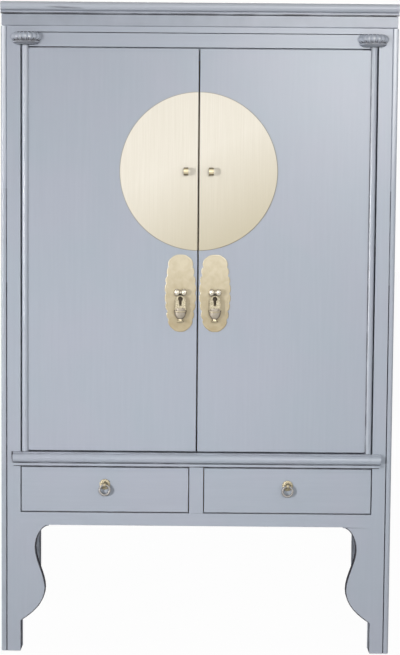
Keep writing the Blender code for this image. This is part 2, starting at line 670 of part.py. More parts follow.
def build_panels(posts):
    """Side and back panels whose edges stand in grooves in the posts and rails."""
    for name, side in SIDES.items():
        ends = (side * SIDE_PANEL_INNER, side * SIDE_PANEL_OUTER)
        low = (min(ends), FRONT + POST_DEPTH - PANEL_TONGUE + FIT, BOTTOM_RAIL_TOP - PANEL_TONGUE + FIT)
        high = (max(ends), BACK_POST_FRONT + PANEL_TONGUE - FIT, SIDE_HEADER_BOTTOM + PANEL_TONGUE - FIT)
        piece(f"{name}_side_panel", block(low, high), "lacquer")
        holders = [posts["front", name], posts["back", name]]
        holders += [bpy.data.objects[f"{name}_{level}_rail"] for level in ("bottom", "top")]
        for holder in holders:
            cut(holder, block(low, high, FIT))
    low = (-INNER - PANEL_TONGUE + FIT, BACK_PANEL_FRONT, BOTTOM_RAIL_TOP - PANEL_TONGUE + FIT)
    high = (INNER + PANEL_TONGUE - FIT, BACK_PANEL_BACK, SIDE_HEADER_BOTTOM + PANEL_TONGUE - FIT)
    piece("back_panel", block(low, high), "lacquer")
    holders = [posts["back", name] for name in SIDES]
    holders += [bpy.data.objects[f"back_{level}_rail"] for level in ("bottom", "top")]
    for holder in holders:
        cut(holder, block(low, high, FIT))


def housed_board(name, front, bottom, thickness, notch_front):
    """A board across the cupboard, its ends housed in the side panels and its corners cut round the posts."""
    wide, narrow = SIDE_PANEL_INNER + HOUSING_DEPTH - FIT, INNER - FIT
    post_back, post_front = FRONT + POST_DEPTH + FIT, BACK_POST_FRONT - FIT
    back = BACK_PANEL_FRONT - FIT
    right = [(narrow, back), (narrow, post_front), (wide, post_front)]
    right += [(wide, post_back), (narrow, post_back), (narrow, front)] if notch_front else [(wide, front)]
    outline = right + [(-x, y) for x, y in reversed(right)]
    board = piece(name, slab(outline, "z", bottom, bottom + thickness), "plain_wood")
    for side_name, side in SIDES.items():
        low = (narrow, max(front, post_back), bottom)
        housing = handed(block(low, (wide, post_front, bottom + thickness), FIT), side)
        cut(bpy.data.objects[f"{side_name}_side_panel"], housing)
    return board


def build_floor_and_shelf(waist_rail):
    bottom = FLOOR_TOP - FLOOR_THICKNESS
    behind_waist = FRONT + RAIL_THICKNESS + FIT
    floor = housed_board("cupboard_floor", behind_waist, bottom, FLOOR_THICKNESS, True)
    inset = FLOOR_THICKNESS / 4
    low = (-PIVOT_X + COLUMN_DIAMETER, behind_waist - FLOOR_TONGUE, bottom + inset)
    high = (PIVOT_X - COLUMN_DIAMETER, behind_waist + FLOOR_TONGUE, FLOOR_TOP - inset)
    fuse(floor, block(low, high))
    cut(waist_rail, block(low, high, FIT))
    shelf_front = FRONT + POST_DEPTH + SHELF_SETBACK
    housed_board("shelf", shelf_front, SHELF_BOTTOM, SHELF_THICKNESS, False)


def build_divider(waist_rail):
    low = (-DIVIDER_WIDTH / 2, FRONT, BOTTOM_RAIL_TOP + FIT)
    high = (DIVIDER_WIDTH / 2, FRONT + RAIL_THICKNESS, WAIST_BOTTOM - FIT)
    obj = piece("drawer_divider", block(low, high), "lacquer")
    middle = FRONT + RAIL_THICKNESS / 2
    half = TENON_THICKNESS / 2
    low = (low[0] + TENON_SHOULDER, middle - half, BOTTOM_RAIL_TOP - DIVIDER_TENON)
    high = (high[0] - TENON_SHOULDER, middle + half, WAIST_BOTTOM + DIVIDER_TENON)
    fuse(obj, block(low, high))
    cut(waist_rail, block(low, high, FIT))
    cut(bpy.data.objects["front_bottom_rail"], block(low, high, FIT))


def build_runners():
    """Runners between the front and back bottom rails, with guides beside and between the drawers."""
    start, end = FRONT + RAIL_THICKNESS + FIT, BACK - RAIL_THICKNESS - FIT
    bottom = RUNNER_TOP - RUNNER_DEPTH
    tenon_top = BOTTOM_RAIL_TOP - PANEL_TONGUE - TENON_SHOULDER
    guide_top = RUNNER_TOP + GUIDE_HEIGHT
    rails = [bpy.data.objects[f"{end_name}_bottom_rail"] for end_name in ("front", "back")]
    outer = INNER - FIT
    beside_rail = SIDE_FACE - RAIL_THICKNESS - FIT
    post_back, post_front = FRONT + POST_DEPTH + FIT, BACK_POST_FRONT - FIT

    def tenoned(name, low_x, high_x):
        obj = piece(name, block((low_x, start, bottom), (high_x, end, RUNNER_TOP)), "plain_wood")
        low = (low_x + TENON_SHOULDER, start - RUNNER_TENON, bottom + TENON_SHOULDER)
        high = (high_x - TENON_SHOULDER, end + RUNNER_TENON, tenon_top)
        fuse(obj, block(low, high))
        for holder in rails:
            cut(holder, block(low, high, FIT))
        return obj

    for name, side in SIDES.items():
        ends = (side * (outer - RUNNER_WIDTH), side * outer)
        obj = tenoned(f"{name}_drawer_runner", min(ends), max(ends))
        low = (outer - FIT, post_back, bottom + TENON_SHOULDER)
        fuse(obj, handed(block(low, (beside_rail, post_front, guide_top)), side))
    reach = DRAWER_INNER + RUNNER_WIDTH
    obj = tenoned("middle_drawer_runner", -reach, reach)
    half = DIVIDER_WIDTH / 2
    fuse(obj, block((-half, start, RUNNER_TOP - TENON_SHOULDER), (half, end, guide_top)))


def scalloped_outline(middle_x, middle_z):
    """Plate outline of shallow round lobes between corner points, given as shares of its half sizes."""
    flank = [(0.80, 0.68), (0.86, 0.46), (0.95, 0.25), (0.965, 0.0), (0.95, -0.25), (0.86, -0.46), (0.80, -0.68)]
    crown_share = 0.11
    right = [(0.68, 1 - crown_share)] + flank + [(0.60, crown_share - 1)]
    ring = right + [(-x, z) for x, z in reversed(right)]
    points = [(middle_x + x * PLATE_WIDTH / 2, middle_z + z * PLATE_HEIGHT / 2) for x, z in ring]
    crown = PLATE_HEIGHT / 2 * crown_share
    outline = []
    for start, end in zip(points, points[1:] + points[:1]):
        chord = Vector((end[0] - start[0], end[1] - start[1]))
        outward = Vector((-chord.y, chord.x)).normalized()
        # the two crowns are fuller than the lobes of the flanks
        bulge, fullness = (crown, 3) if abs(chord.y) < FIT else (SCALLOP_BULGE, 2)
        for step in range(FINE_STEPS // 2):
            share = step / (FINE_STEPS // 2)
            lift = bulge * (1 - abs(2 * share - 1) ** fullness)
            outline.append((
                start[0] + chord.x * share + outward.x * lift,
                start[1] + chord.y * share + outward.y * lift,
            ))
    return outline


def lock_eye_shape(face, root):
    """A strip bent to a U, its two prongs running back through the disc into the leaf."""
    outer, inner = EYE_HEIGHT / 2, EYE_HEIGHT / 2 - EYE_STRIP
    bend = face - EYE_REACH + outer
    steps = FINE_STEPS * 2
    outline = [(root, outer)] + arc((bend, 0), outer, 90, 270, steps) + [(root, -outer)]
    outline += [(root, -inner)] + arc((bend, 0), inner, 270, 90, steps) + [(root, inner)]
    outline = [(y, DISC_LEVEL + z) for y, z in outline]
    return slab(outline, "x", EYE_X - EYE_WIDTH / 2, EYE_X + EYE_WIDTH / 2)


def ball(centre):
    shape = bmesh.new()
    bmesh.ops.create_uvsphere(shape, u_segments=16, v_segments=10, radius=BALL_DIAMETER / 2)
    bmesh.ops.translate(shape, vec=centre, verts=shape.verts)
    return shape


def basket_profile():
    """Lid, rim, bowl and foot of the basket as (radius, height) points, from the foot up to the collar."""
    rim_low = -RIM_DROP - RIM_HEIGHT
    bowl_low = rim_low - BOWL_HEIGHT
    knob_top = bowl_low - NECK_HEIGHT
    knob_middle = knob_top - KNOB_HEIGHT / 2
    profile = []
    for out, up in arc((0, 0), 1, -90, 90, FINE_STEPS // 2):
        profile.append((KNOB_WIDTH / 2 * out, knob_middle + KNOB_HEIGHT / 2 * up))
    profile[-1] = (NECK_WIDTH / 2, knob_top)
    profile.append((NECK_WIDTH / 2, bowl_low))
    # the bowl swells quickly from its foot and stands nearly upright under the rim
    for out, up in arc((0, 0), 1, 20, 90, FINE_STEPS // 2):
        half = KNOB_WIDTH / 2 + (RIM_WIDTH - KNOB_WIDTH) / 2 * (up - math.sin(math.radians(20)))
        profile.append((half, bowl_low + BOWL_HEIGHT * (1 - out)))
    profile += [(RIM_WIDTH / 2, rim_low), (RIM_WIDTH / 2, -RIM_DROP), (COLLAR_WIDTH / 2, -RIM_DROP)]
    collar_top = -ARCH_TOP - ARCH_HEIGHT + ARCH_THICKNESS
    profile += [(COLLAR_WIDTH / 2 - ARCH_THICKNESS / 3, collar_top), (0, collar_top)]
    return profile


def drop_handle(name):
    """Basket handle in one casting: hinge eye, pierced arch, rim, bowl and foot."""
    pivot = Vector((PLATE_X, HANDLE_Y, HANDLE_LEVEL))
    basket = turned(basket_profile(), (0, 0, 0))
    bmesh.ops.scale(basket, vec=(1, BASKET_FLATNESS, 1), verts=basket.verts)
    bmesh.ops.translate(basket, vec=pivot, verts=basket.verts)
    obj = piece(name, basket, "pale_brass", smooth=True)
    half, top = ARCH_WIDTH / 2, pivot.z - ARCH_TOP
    arch = arc((pivot.x, top - half), half, 0, 180, ROUND_STEPS // 2)
    arch += [(pivot.x - half, top - ARCH_HEIGHT), (pivot.x + half, top - ARCH_HEIGHT)]
    fuse(obj, slab(arch, "y", pivot.y - ARCH_THICKNESS / 2, pivot.y + ARCH_THICKNESS / 2))
    keyhole = pivot - Vector((0, 0, KEYHOLE_DROP))
    cut(obj, rod(KEYHOLE_DIAMETER / 2, -ARCH_THICKNESS, ARCH_THICKNESS, keyhole, "y", 20))
    slot = Vector((KEYHOLE_SLOT / 2, ARCH_THICKNESS, 0))
    cut(obj, block(keyhole - slot - Vector((0, 0, KEYHOLE_LENGTH)), keyhole + slot))
    eye_half = (BALL_SPACING - BALL_DIAMETER) / 2 - HANDLE_EYE_PLAY
    bore = HINGE_PIN_DIAMETER / 2 + PIN_CLEARANCE
    neck = Vector((eye_half * 0.9, HANDLE_EYE_DIAMETER / 4, 0))
    neck_top = Vector((0, 0, (bore + HANDLE_EYE_DIAMETER / 2) / 2))
    neck_foot = Vector((0, 0, ARCH_TOP + ARCH_THICKNESS / 2))
    fuse(obj, block(pivot - neck - neck_foot, pivot + neck - neck_top))
    fuse(obj, rod(HANDLE_EYE_DIAMETER / 2, -eye_half, eye_half, pivot, "x", 16))
    cut(obj, rod(bore, -2 * eye_half, 2 * eye_half, pivot, "x", 16))
    return obj


def handle_boss(name):
    """Two ball knobs on stems, with the hinge pin between them."""
    obj = None
    for end in (-1, 1):
        centre = (PLATE_X + end * BALL_SPACING / 2, HANDLE_Y, HANDLE_LEVEL)
        if obj is None:
            obj = piece(name, ball(centre), "brass", smooth=True)
        else:
            fuse(obj, ball(centre))
        stem_end = LEAF_FRONT + STEM_ROOT - HANDLE_Y
        fuse(obj, rod(STEM_DIAMETER / 2, 0, stem_end, centre, "y", 16))
    half = BALL_SPACING / 2
    fuse(obj, rod(HINGE_PIN_DIAMETER / 2, -half, half, (PLATE_X, HANDLE_Y, HANDLE_LEVEL), "x", 16))
    return obj


def mirrored(obj, side):
    """Puts an object that was drawn for the right on its own side."""
    if side < 0:
        obj.data.transform(Matrix.Scale(-1, 4, (1, 0, 0)))
        obj.data.flip_normals()
    return obj


def build_door(name, side):
    """Leaf with its pivot column, battens and brass, drawn for the right and put on its side."""
    front, back = LEAF_FRONT, LEAF_BACK
    leaf_shape = block((LEAF_INNER, front, LEAF_BOTTOM), (LEAF_OUTER, back, LEAF_TOP))
    leaf = piece(f"{name}_door_leaf", soften_front(leaf_shape, front), "lacquer")
    middle = PIVOT_Y
    tongue_low = (LEAF_OUTER - LEAF_TONGUE, middle - LEAF_TONGUE_THICKNESS / 2, LEAF_BOTTOM + DOOR_GAP)
    tongue_high = (LEAF_OUTER + LEAF_TONGUE, middle + LEAF_TONGUE_THICKNESS / 2, LEAF_TOP - DOOR_GAP)
    fuse(leaf, block(tongue_low, tongue_high))

    pin, column = PIN_DIAMETER / 2, COLUMN_DIAMETER / 2
    foot, head = WAIST_TOP + FIT, CAPITAL_BOTTOM - FIT
    profile = [(0, foot - PIN_LENGTH), (pin, foot - PIN_LENGTH), (pin, foot), (column, foot)]
    profile += [(column, head), (pin, head), (pin, head + PIN_LENGTH), (0, head + PIN_LENGTH)]
    pole = piece(f"{name}_door_column", turned(profile, (PIVOT_X, PIVOT_Y, 0)), "lacquer", smooth=True)
    cut(pole, block(tongue_low, tongue_high, FIT))

    pieces = [leaf, pole]
    levels = {"upper": LEAF_TOP - BATTEN_OFFSET, "lower": LEAF_BOTTOM + BATTEN_OFFSET}
    for level_name, level in levels.items():
        low = (LEAF_INNER + BATTEN_MARGIN, back - BATTEN_HOUSING, level - BATTEN_HEIGHT / 2)
        high = (LEAF_OUTER - BATTEN_MARGIN, low[1] + BATTEN_THICKNESS, level + BATTEN_HEIGHT / 2)
        cut(leaf, block(low, high, FIT))
        pieces.append(piece(f"{name}_door_{level_name}_batten", block(low, high), "plain_wood"))

    disc_edge = math.degrees(math.asin(LEAF_INNER / DISC_RADIUS))
    outline = arc((0, DISC_LEVEL), DISC_RADIUS, -90 + disc_edge, 90 - disc_edge, ROUND_STEPS * 2)
    disc = slab(outline, "y", front - FIT - DISC_THICKNESS, front - FIT)
    disc = piece(f"{name}_disc", disc, "brass")
    eye_face, eye_root = front - FIT - DISC_THICKNESS, front + EYE_ROOT
    eye = piece(f"{name}_lock_eye", lock_eye_shape(eye_face, eye_root), "brass", smooth=True)
    for end in (-1, 1):
        outer, inner = end * EYE_HEIGHT / 2, end * (EYE_HEIGHT / 2 - EYE_STRIP)
        low = (EYE_X - EYE_WIDTH / 2, eye_face - FIT, DISC_LEVEL + min(outer, inner))
        high = (EYE_X + EYE_WIDTH / 2, eye_root, DISC_LEVEL + max(outer, inner))
        for holder in (disc, leaf):
            cut(holder, block(low, high, FIT))

    outline = scalloped_outline(PLATE_X, PLATE_LEVEL)
    plate = slab(outline, "y", front - FIT - PLATE_THICKNESS, front - FIT)
    plate = piece(f"{name}_handle_plate", plate, "brass")
    boss = handle_boss(f"{name}_handle_boss")
    for end in (-1, 1):
        centre = (PLATE_X + end * BALL_SPACING / 2, front, HANDLE_LEVEL)
        hole = STEM_DIAMETER / 2 + FIT
        for holder in (plate, leaf):
            cut(holder, rod(hole, -BALL_STANDOFF / 2, STEM_ROOT + FIT, centre, "y", 16))
    handle = drop_handle(f"{name}_drop_handle")

    pieces += [disc, eye, plate, boss, handle]
    for obj in pieces:
        mirrored(obj, side)
    pivot = (side * PIVOT_X, PIVOT_Y, WAIST_TOP)
    hang(pieces, carrier(f"{name}_door_pivot", pivot))
    move_origin(handle, (side * PLATE_X, HANDLE_Y, HANDLE_LEVEL))


def rosette_shape():
    """Petalled plate of a ring pull."""
    outline = []
    steps = ROSETTE_PETALS * 4
    for step in range(steps):
        angle = 2 * math.pi * step / steps
        radius = ROSETTE_DIAMETER / 2 - PETAL_DEPTH * (1 - abs(math.sin(ROSETTE_PETALS * angle / 2)))
        outline.append((PULL_X + radius * math.cos(angle), PULL_LEVEL + radius * math.sin(angle)))
    return slab(outline, "y", ROSETTE_FACE, DRAWER_FACE - FIT)


def ring_shape():
    """Closed ring, hung with the middle of its wire on the hinge axis."""
    shape = bmesh.new()
    wire = bmesh.ops.create_circle(shape, segments=10, radius=RING_WIRE / 2)["verts"]
    bmesh.ops.translate(shape, vec=(RING_DIAMETER / 2, 0, 0), verts=wire)
    bmesh.ops.spin(
        shape, geom=shape.verts[:] + shape.edges[:], cent=(0, 0, 0), axis=(0, 1, 0),
        angle=2 * math.pi, steps=ROUND_STEPS + 8, use_merge=True,
    )
    bmesh.ops.remove_doubles(shape, verts=shape.verts, dist=1e-6)
    bmesh.ops.translate(shape, vec=(PULL_X, PULL_Y, PULL_LEVEL - RING_DIAMETER / 2), verts=shape.verts)
    return shape


def build_drawer(name, side):
    """Dovetail-lapped box with a grooved-in bottom and a ring pull, drawn for the right."""
    inner_end, outer_end = DRAWER_INNER, DRAWER_OUTER
    front_back = DRAWER_FACE + DRAWER_FRONT_THICKNESS
    box_back = DRAWER_FACE + DRAWER_LENGTH
    shape = block((inner_end, DRAWER_FACE, DRAWER_BOTTOM_EDGE), (outer_end, front_back, DRAWER_TOP_EDGE))
    front = piece(f"{name}_drawer_front", soften_front(shape, DRAWER_FACE), "lacquer")
    side_bottom = RUNNER_TOP + FIT
    side_top = side_bottom + DRAWER_SIDE_HEIGHT
    walls = {
        "inner": inner_end + DRAWER_SIDE_INSET,
        "outer": outer_end - DRAWER_SIDE_INSET - DRAWER_SIDE_THICKNESS,
    }
    pieces = [front]
    for wall_name, start in walls.items():
        low = (start, front_back - DRAWER_LAP, side_bottom)
        high = (start + DRAWER_SIDE_THICKNESS, box_back, side_top)
        cut(front, block(low, high, FIT))
        pieces.append(piece(f"{name}_drawer_{wall_name}_side", block(low, high), "plain_wood"))
    within = (walls["inner"] + DRAWER_SIDE_THICKNESS + FIT, walls["outer"] - FIT)
    bottom_low = side_bottom + DRAWER_BOTTOM_RISE
    bottom_top = bottom_low + DRAWER_BOTTOM_THICKNESS
    low = (within[0] - DRAWER_GROOVE, front_back - DRAWER_GROOVE, bottom_low)
    high = (within[1] + DRAWER_GROOVE, box_back - FIT, bottom_top)
    for holder in pieces:
        cut(holder, block(low, high, FIT))
    pieces.append(piece(f"{name}_drawer_bottom", block(low, high), "plain_wood"))
    low = (within[0], box_back - DRAWER_SIDE_THICKNESS, bottom_top + FIT)
    high = (within[1], box_back - FIT, side_top)
    pieces.append(piece(f"{name}_drawer_back", block(low, high), "plain_wood"))

    rosette = piece(f"{name}_pull_rosette", rosette_shape(), "brass")
    centre = (PULL_X, PULL_Y, PULL_LEVEL)
    half = KNUCKLE_WIDTH / 2
    stem_end = DRAWER_FACE + PULL_ROOT - PULL_Y
    fuse(rosette, rod(KNUCKLE_WIDTH / 2, 0, stem_end, centre, "y", 16))
    fuse(rosette, rod(KNUCKLE_DIAMETER / 2, -half, half, centre, "x", 20))
    cut(rosette, rod(KNUCKLE_BORE / 2, -2 * half, 2 * half, centre, "x", 20))
    root = (PULL_X, DRAWER_FACE, PULL_LEVEL)
    cut(front, rod(KNUCKLE_WIDTH / 2 + FIT, -KNUCKLE_WIDTH, PULL_ROOT + FIT, root, "y", 16))
    ring = piece(f"{name}_pull_ring", ring_shape(), "pale_brass", smooth=True)
    pieces += [rosette, ring]
    for obj in pieces:
        mirrored(obj, side)
    hang(pieces, carrier(f"{name}_drawer_slide", (side * PULL_X, DRAWER_FACE, RUNNER_TOP)))
    move_origin(ring, (side * PULL_X, PULL_Y, PULL_LEVEL))


def carrier(name, place):
    """An empty on the axis that a group of pieces moves about."""
    empty = bpy.data.objects.new(name, None)
    empty.location = place
    bpy.context.scene.collection.objects.link(empty)
    return empty


def hang(pieces, empty):
    """Parents pieces to an empty and puts their origins on it, with their shapes where they are."""
    for obj in pieces:
        obj.data.transform(Matrix.Translation(-empty.location))
        obj.parent = empty


def move_origin(obj, place):
    """Puts a hung piece's own origin on its own axis."""
    offset = Vector(place) - obj.parent.location
    obj.data.transform(Matrix.Translation(-offset))
    obj.location = offset


def centre_origins(pieces):
    """Puts each fixed piece's origin in the middle of its box."""
    for obj in pieces:
        corners = [Vector(corner) for corner in obj.bound_box]
        middle = sum(corners, Vector()) / len(corners)
        obj.data.transform(Matrix.Translation(-middle))
        obj.location = middle


def build_cabinet():
    clear_scene()
    posts = build_posts()
    build_top_board()
    build_top_rails(posts)
    build_bottom_rails(posts)
    build_brackets()
    waist_rail = build_waist_rail(posts)
    build_lintel(posts)
    build_capitals()
    build_panels(posts)
    build_floor_and_shelf(waist_rail)
    build_divider(waist_rail)
    build_runners()
    fixed = list(bpy.data.objects)
    for name, side in SIDES.items():
        build_door(name, side)
        build_drawer(name, side)
    centre_origins(fixed)


build_cabinet()
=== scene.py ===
"""Looks of a lacquered wedding cabinet with brass fittings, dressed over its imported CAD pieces."""

import json
import math

import bmesh
import bpy
from mathutils import Matrix, Vector

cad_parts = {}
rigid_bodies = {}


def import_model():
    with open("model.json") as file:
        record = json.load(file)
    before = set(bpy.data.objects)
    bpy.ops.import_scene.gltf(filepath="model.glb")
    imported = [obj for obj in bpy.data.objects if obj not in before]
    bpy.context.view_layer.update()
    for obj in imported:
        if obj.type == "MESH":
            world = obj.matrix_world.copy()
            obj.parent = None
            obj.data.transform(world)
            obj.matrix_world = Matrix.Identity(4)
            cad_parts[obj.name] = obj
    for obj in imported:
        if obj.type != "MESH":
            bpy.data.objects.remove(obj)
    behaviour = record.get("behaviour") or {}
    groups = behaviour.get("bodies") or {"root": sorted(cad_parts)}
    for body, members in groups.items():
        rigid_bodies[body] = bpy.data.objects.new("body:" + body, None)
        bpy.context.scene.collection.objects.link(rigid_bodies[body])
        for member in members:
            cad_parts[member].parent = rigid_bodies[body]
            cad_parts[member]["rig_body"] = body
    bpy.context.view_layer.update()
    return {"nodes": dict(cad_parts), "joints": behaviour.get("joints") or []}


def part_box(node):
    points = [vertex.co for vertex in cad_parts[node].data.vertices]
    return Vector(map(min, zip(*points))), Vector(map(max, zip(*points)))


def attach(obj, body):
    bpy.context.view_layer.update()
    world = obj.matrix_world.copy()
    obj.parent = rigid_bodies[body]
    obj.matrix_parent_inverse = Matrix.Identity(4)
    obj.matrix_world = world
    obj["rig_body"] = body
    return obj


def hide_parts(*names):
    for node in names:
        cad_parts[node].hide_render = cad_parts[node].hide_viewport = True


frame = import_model()
nodes = frame["nodes"]

SIDES = {"left": -1, "right": 1}
JOINT_PLACES = {joint["name"]: Vector(joint["pos_m"]) for joint in frame["joints"] if "pos_m" in joint}
X, Y, Z = range(3)

# Places on the cabinet, in metres
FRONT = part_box("front_left_post")[0].y
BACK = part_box("back_left_post")[1].y
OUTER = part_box("front_right_post")[1].x
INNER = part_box("front_right_post")[0].x
LEG_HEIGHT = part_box("front_bottom_rail")[0].z
BRACKET_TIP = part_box("right_bracket")[0].x
JOINT_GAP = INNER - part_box("right_bracket")[1].x
DISC_LOW, DISC_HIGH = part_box("left_disc")
DISC_LEVEL = (DISC_LOW.z + DISC_HIGH.z) / 2
PLATE_LOW, PLATE_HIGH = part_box("left_handle_plate")
HANDLE_PIVOT = JOINT_PLACES["right_handle_lift"]
HANDLE_DROP = HANDLE_PIVOT.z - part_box("right_drop_handle")[0].z

# Joining, spinning and rounding, in metres
JOIN = 1e-5  # points closer than this are one
POLE_JOIN = 1e-7  # the same on what is spun
FLAT_LIMIT = math.radians(0.4)  # triangles that meet more flatly are one face
SMOOTH_LIMIT = math.radians(50)  # a sharper edge stays a crease
FULL_TURN = 2 * math.pi
SPIN_STEPS = 48
ARRIS = 0.0009  # rounding of a board's arrises
BACK_ARRIS = 0.002  # of the back posts
FOOT_ARRIS = 0.0025  # under the front legs
BACK_FOOT_ARRIS = 0.006  # under the back legs
BRASS_ARRIS = 0.0004

# Edges shorter than these aren't rounded, in metres
RAIL_EDGE = 0.5  # on long rails and back posts
SIDE_EDGE = 0.2  # on side rails
BOARD_EDGE = 0.3  # on the top board and the front bottom rail
END_EDGE = 0.001  # at the top board's ends
ROSETTE_EDGE = 0.0005

# How far a face's normal goes towards a side
FLUSH = 0.99  # for a face that looks straight that way
FACING = 0.9  # for one that looks about that way
LEANING = 0.5  # for one that looks more that way than another
FLANK = 0.4  # for the inner flanks of the door columns
SOFFIT = 0.3  # for the rounding under the frieze
SOFTENED = (0.2, 0.95)  # for the softened arris of a leaf or a drawer front

# Mouldings: shares of their height, or metres
TOP_SEAM = 0.09  # painted shade on the lower edge of the top board ends here
TOP_QUIRK = (0.18, 0.26)  # its quirk, and the round above it
TOP_QUIRK_DEPTH = 0.004  # it stands less than this in front of the posts, in metres
STREAK_SHARE = 0.50  # level of the rubbed streak on the round
STREAK_HALF = 0.002  # half its height, in metres
STREAK_PLACES = (-0.41, -0.36, -0.30)  # its start, darkest place and end, in metres
SEAM_HEIGHT = 0.0035  # the seam between the frieze and the top board, painted with shade, in metres
SEAM_DEPTH = 0.01  # it ends this far behind the posts' faces
WAIST_SEAM = 0.06  # painted shade on the lower edge of the waist rail ends here
WAIST_QUIRK = (0.23, 0.34)
WAIST_ROUND = (0.76, 0.90)  # its upper round, and the strip under the doors above it
WAIST_END = 0.004  # its left end, painted with shadow, in metres

# Posts, legs and brackets, in metres
BEAD_WIDTH = 0.0137  # the bead on the posts' outer corners
BEAD_CREST = (OUTER - 0.8 * BEAD_WIDTH, OUTER - 0.25 * BEAD_WIDTH)
QUIRK_PLACE = (INNER + 0.02, OUTER - 0.010)  # the quirk beside the bead lies between these
QUIRK_DEPTH = 0.003
QUIRK_LEVELS = (1.0, 1.25)  # dirt fills the quirk below, and less and less above
LEG_SHADE_DEPTH = 0.040  # how far back the painted shade on the inner side of a leg fades out
SAWN_BORDER = 0.0024  # dark border along the brackets' sawn edge: rubbing and painted shade

# How dark rubbing, dirt and painted shade are: 1 shows the dark colour in patches, and more shows it with
# fewer breaks
TOP_SEAM_SHADE = 1.0  # painted shade on the lower edge of the top board
# painted shade in the top board's quirk
TOP_QUIRK_SHADE = 0.25
# painted shade on the frieze under the top board
FRIEZE_SHADE = 0.20
# painted shade on the rounding under the frieze
FRIEZE_ROUND_SHADE = 0.4
SEAM_SHADE = 1.2  # painted shade in the seam over the frieze and on the lower edge of the waist rail
# painted shade on the strip under the doors
WAIST_STRIP_SHADE = 0.42
# painted shade in the waist rail's quirk
WAIST_QUIRK_SHADE = 0.9
# painted shadow at the waist rail's left end
WAIST_END_SHADE = 1.8
QUIRK_DARK = (2.0, 0.8, 0.1)  # beside the beads: below, between and above the quirk's levels
BEAD_SHADE = {"left": 0.16, "right": 0.0}  # painted shade on the lower stretch of a bead, on the left one only
SAWN_AND_SHADE_DARK = 2.0  # dark wood and painted shade on the brackets' sawn edges, and painted shade on the inner sides of the legs
# painted shade on the hidden sides of the back legs
BACK_LEG_SHADE = 0.6
LIP_SHADE = 0.5  # painted shade on the lip of a capital
EDGE_SHADE = 1.0  # painted shade in the gaps, on the narrow edges of leaves and drawer fronts
# rubbing on the top arris, painted shade in the gaps at the sides and the foot
ARRIS_RUB_AND_SHADE = {"sides": 0.5, "top": 0.15, "foot": 0.7}
COLUMN_SHADE = {"left": 0.05, "right": 0.9}  # painted shade on the inner flanks, strong on the right one

# How pale the painted light is
TOP_HIGHLIGHT = (0.16, 0.26)  # painted light on the round of the top board, and more of it upwards
WAIST_HIGHLIGHT = 0.09  # painted light on the upper round of the waist rail
BEAD_HIGHLIGHT = 0.8  # painted highlight at the top of the beads

# Capitals, in metres where nothing else is said
CAPITAL_LIP = 0.28  # share of their height
CAPITAL_CORE = 0.5  # share of their half width inside which nothing is carved
CAPITAL_RIBS = 9
RIB_STEPS = 12  # steps across one rib
RIB_DEPTH = 0.0034
CAPITAL_COVER = 0.0004  # the carved ribs stand this far outside the plain capital

# Brass on the doors, in metres where nothing else is said
DISC_LIP = 0.0020  # the sheet brass over the plain disc, all round
DISC_BORDER = 0.0016  # its border, darkened with tarnish and a painted contact shadow
DISC_STEPS = 256
NOTCH_DEPTH = 0.0018  # the notches between a plate's lobes are filed this much deeper
PLATE_END_ROUNDING = 0.005  # rounding at the ends of a handle plate
PLATE_END_STEPS = 6
BORE_REACH = (0.3, 0.4)  # its bores are this near to its middle, of its width and height
# Steps inward and forward from the rim of a plate to its field
PLATE_RINGS = ((0.0010, 0.0004), (0.0014, 0.0001), (0.0018, -0.0001), (0.0016, -0.0002), (0.0060, 0.0001))
KEYHOLE_SHADE_HALVES = (0.011, 0.024)  # half the patch of painted shade on a plate behind its keyhole
BALL_FULLNESS = 1.08  # the turned balls over the plain ones
BALL_HEIGHT = 1.20  # height of a ball knob over its width
BALL_STEPS = 16
COLLAR_SHARE, STEM_SHARE, PIN_SHARE = 0.78, 0.46, 0.31  # of a ball's radius
KNUCKLE_HALF = 0.0012  # half the width of the hinge eye between the balls
KNUCKLE_STEPS = 32
ARCH_STEPS = 40
ARCH_RIM, ARCH_SLOPE, ARCH_SINK = 0.0007, 0.0003, 0.0005  # round the punched front
KEYHOLE_LEVEL = 0.217  # of a drop handle's length, below its pivot
BRIGHT_BANDS = ((0.628, 0.658), (0.890, 0.985))  # of its length, where the basket is lighter brass: polish from hands, and a painted highlight on the rim and the foot

# Pulls of the drawers, in metres where nothing else is said
PETALS = 12
PETAL_STEPS = 8
PETAL_NOTCH = 0.09  # depth of the notches between petals, of the rosette's radius
PETAL_RISE = 0.0022  # height of the petals' wall
PETAL_SEAT = 0.0003  # they stand this far off the drawer front
# Steps inward and forward from the petals' wall to their crown
PETAL_RINGS = ((0.0012, 0.0006), (0.0028, 0.0006), (0.0013, -0.0013), (0.0012, 0.0013), (0.0020, 0.0006))
RING_FULLNESS = 1.25  # the rings' wire over the plain wire
WIRE_STEPS = 16

# The photograph's viewpoint, in metres, degrees and millimetres of film
CAMERA_PLACE = (0.0129, FRONT - 3.997, 1.174)
CAMERA_TURN, CAMERA_TILT, CAMERA_ROLL = 0.087, 4.152, 0.474
CAMERA_LENS, FILM_HEIGHT = 82.44, 36.0

# Floor
FLOOR_HALF = 30  # half its width, in metres
FLOOR_GLOW = 0.975  # share of its look that is plain white


def srgb(red, green, blue):
    """The linear colour of a screen colour from 0 to 255."""
    shares = [value / 255 for value in (red, green, blue)]
    linear = [share / 12.92 if share <= 0.04045 else ((share + 0.055) / 1.055) ** 2.4 for share in shares]
    return (*linear, 1.0)


# Finishes
LACQUER_COOL = srgb(164, 172, 183)
LACQUER_LAVENDER = srgb(167, 172, 184)
LACQUER_PALE = srgb(178, 184, 194)
# painted light: a pale lacquer that stands in for highlights
HIGHLIGHT_PALE = srgb(232, 235, 241)
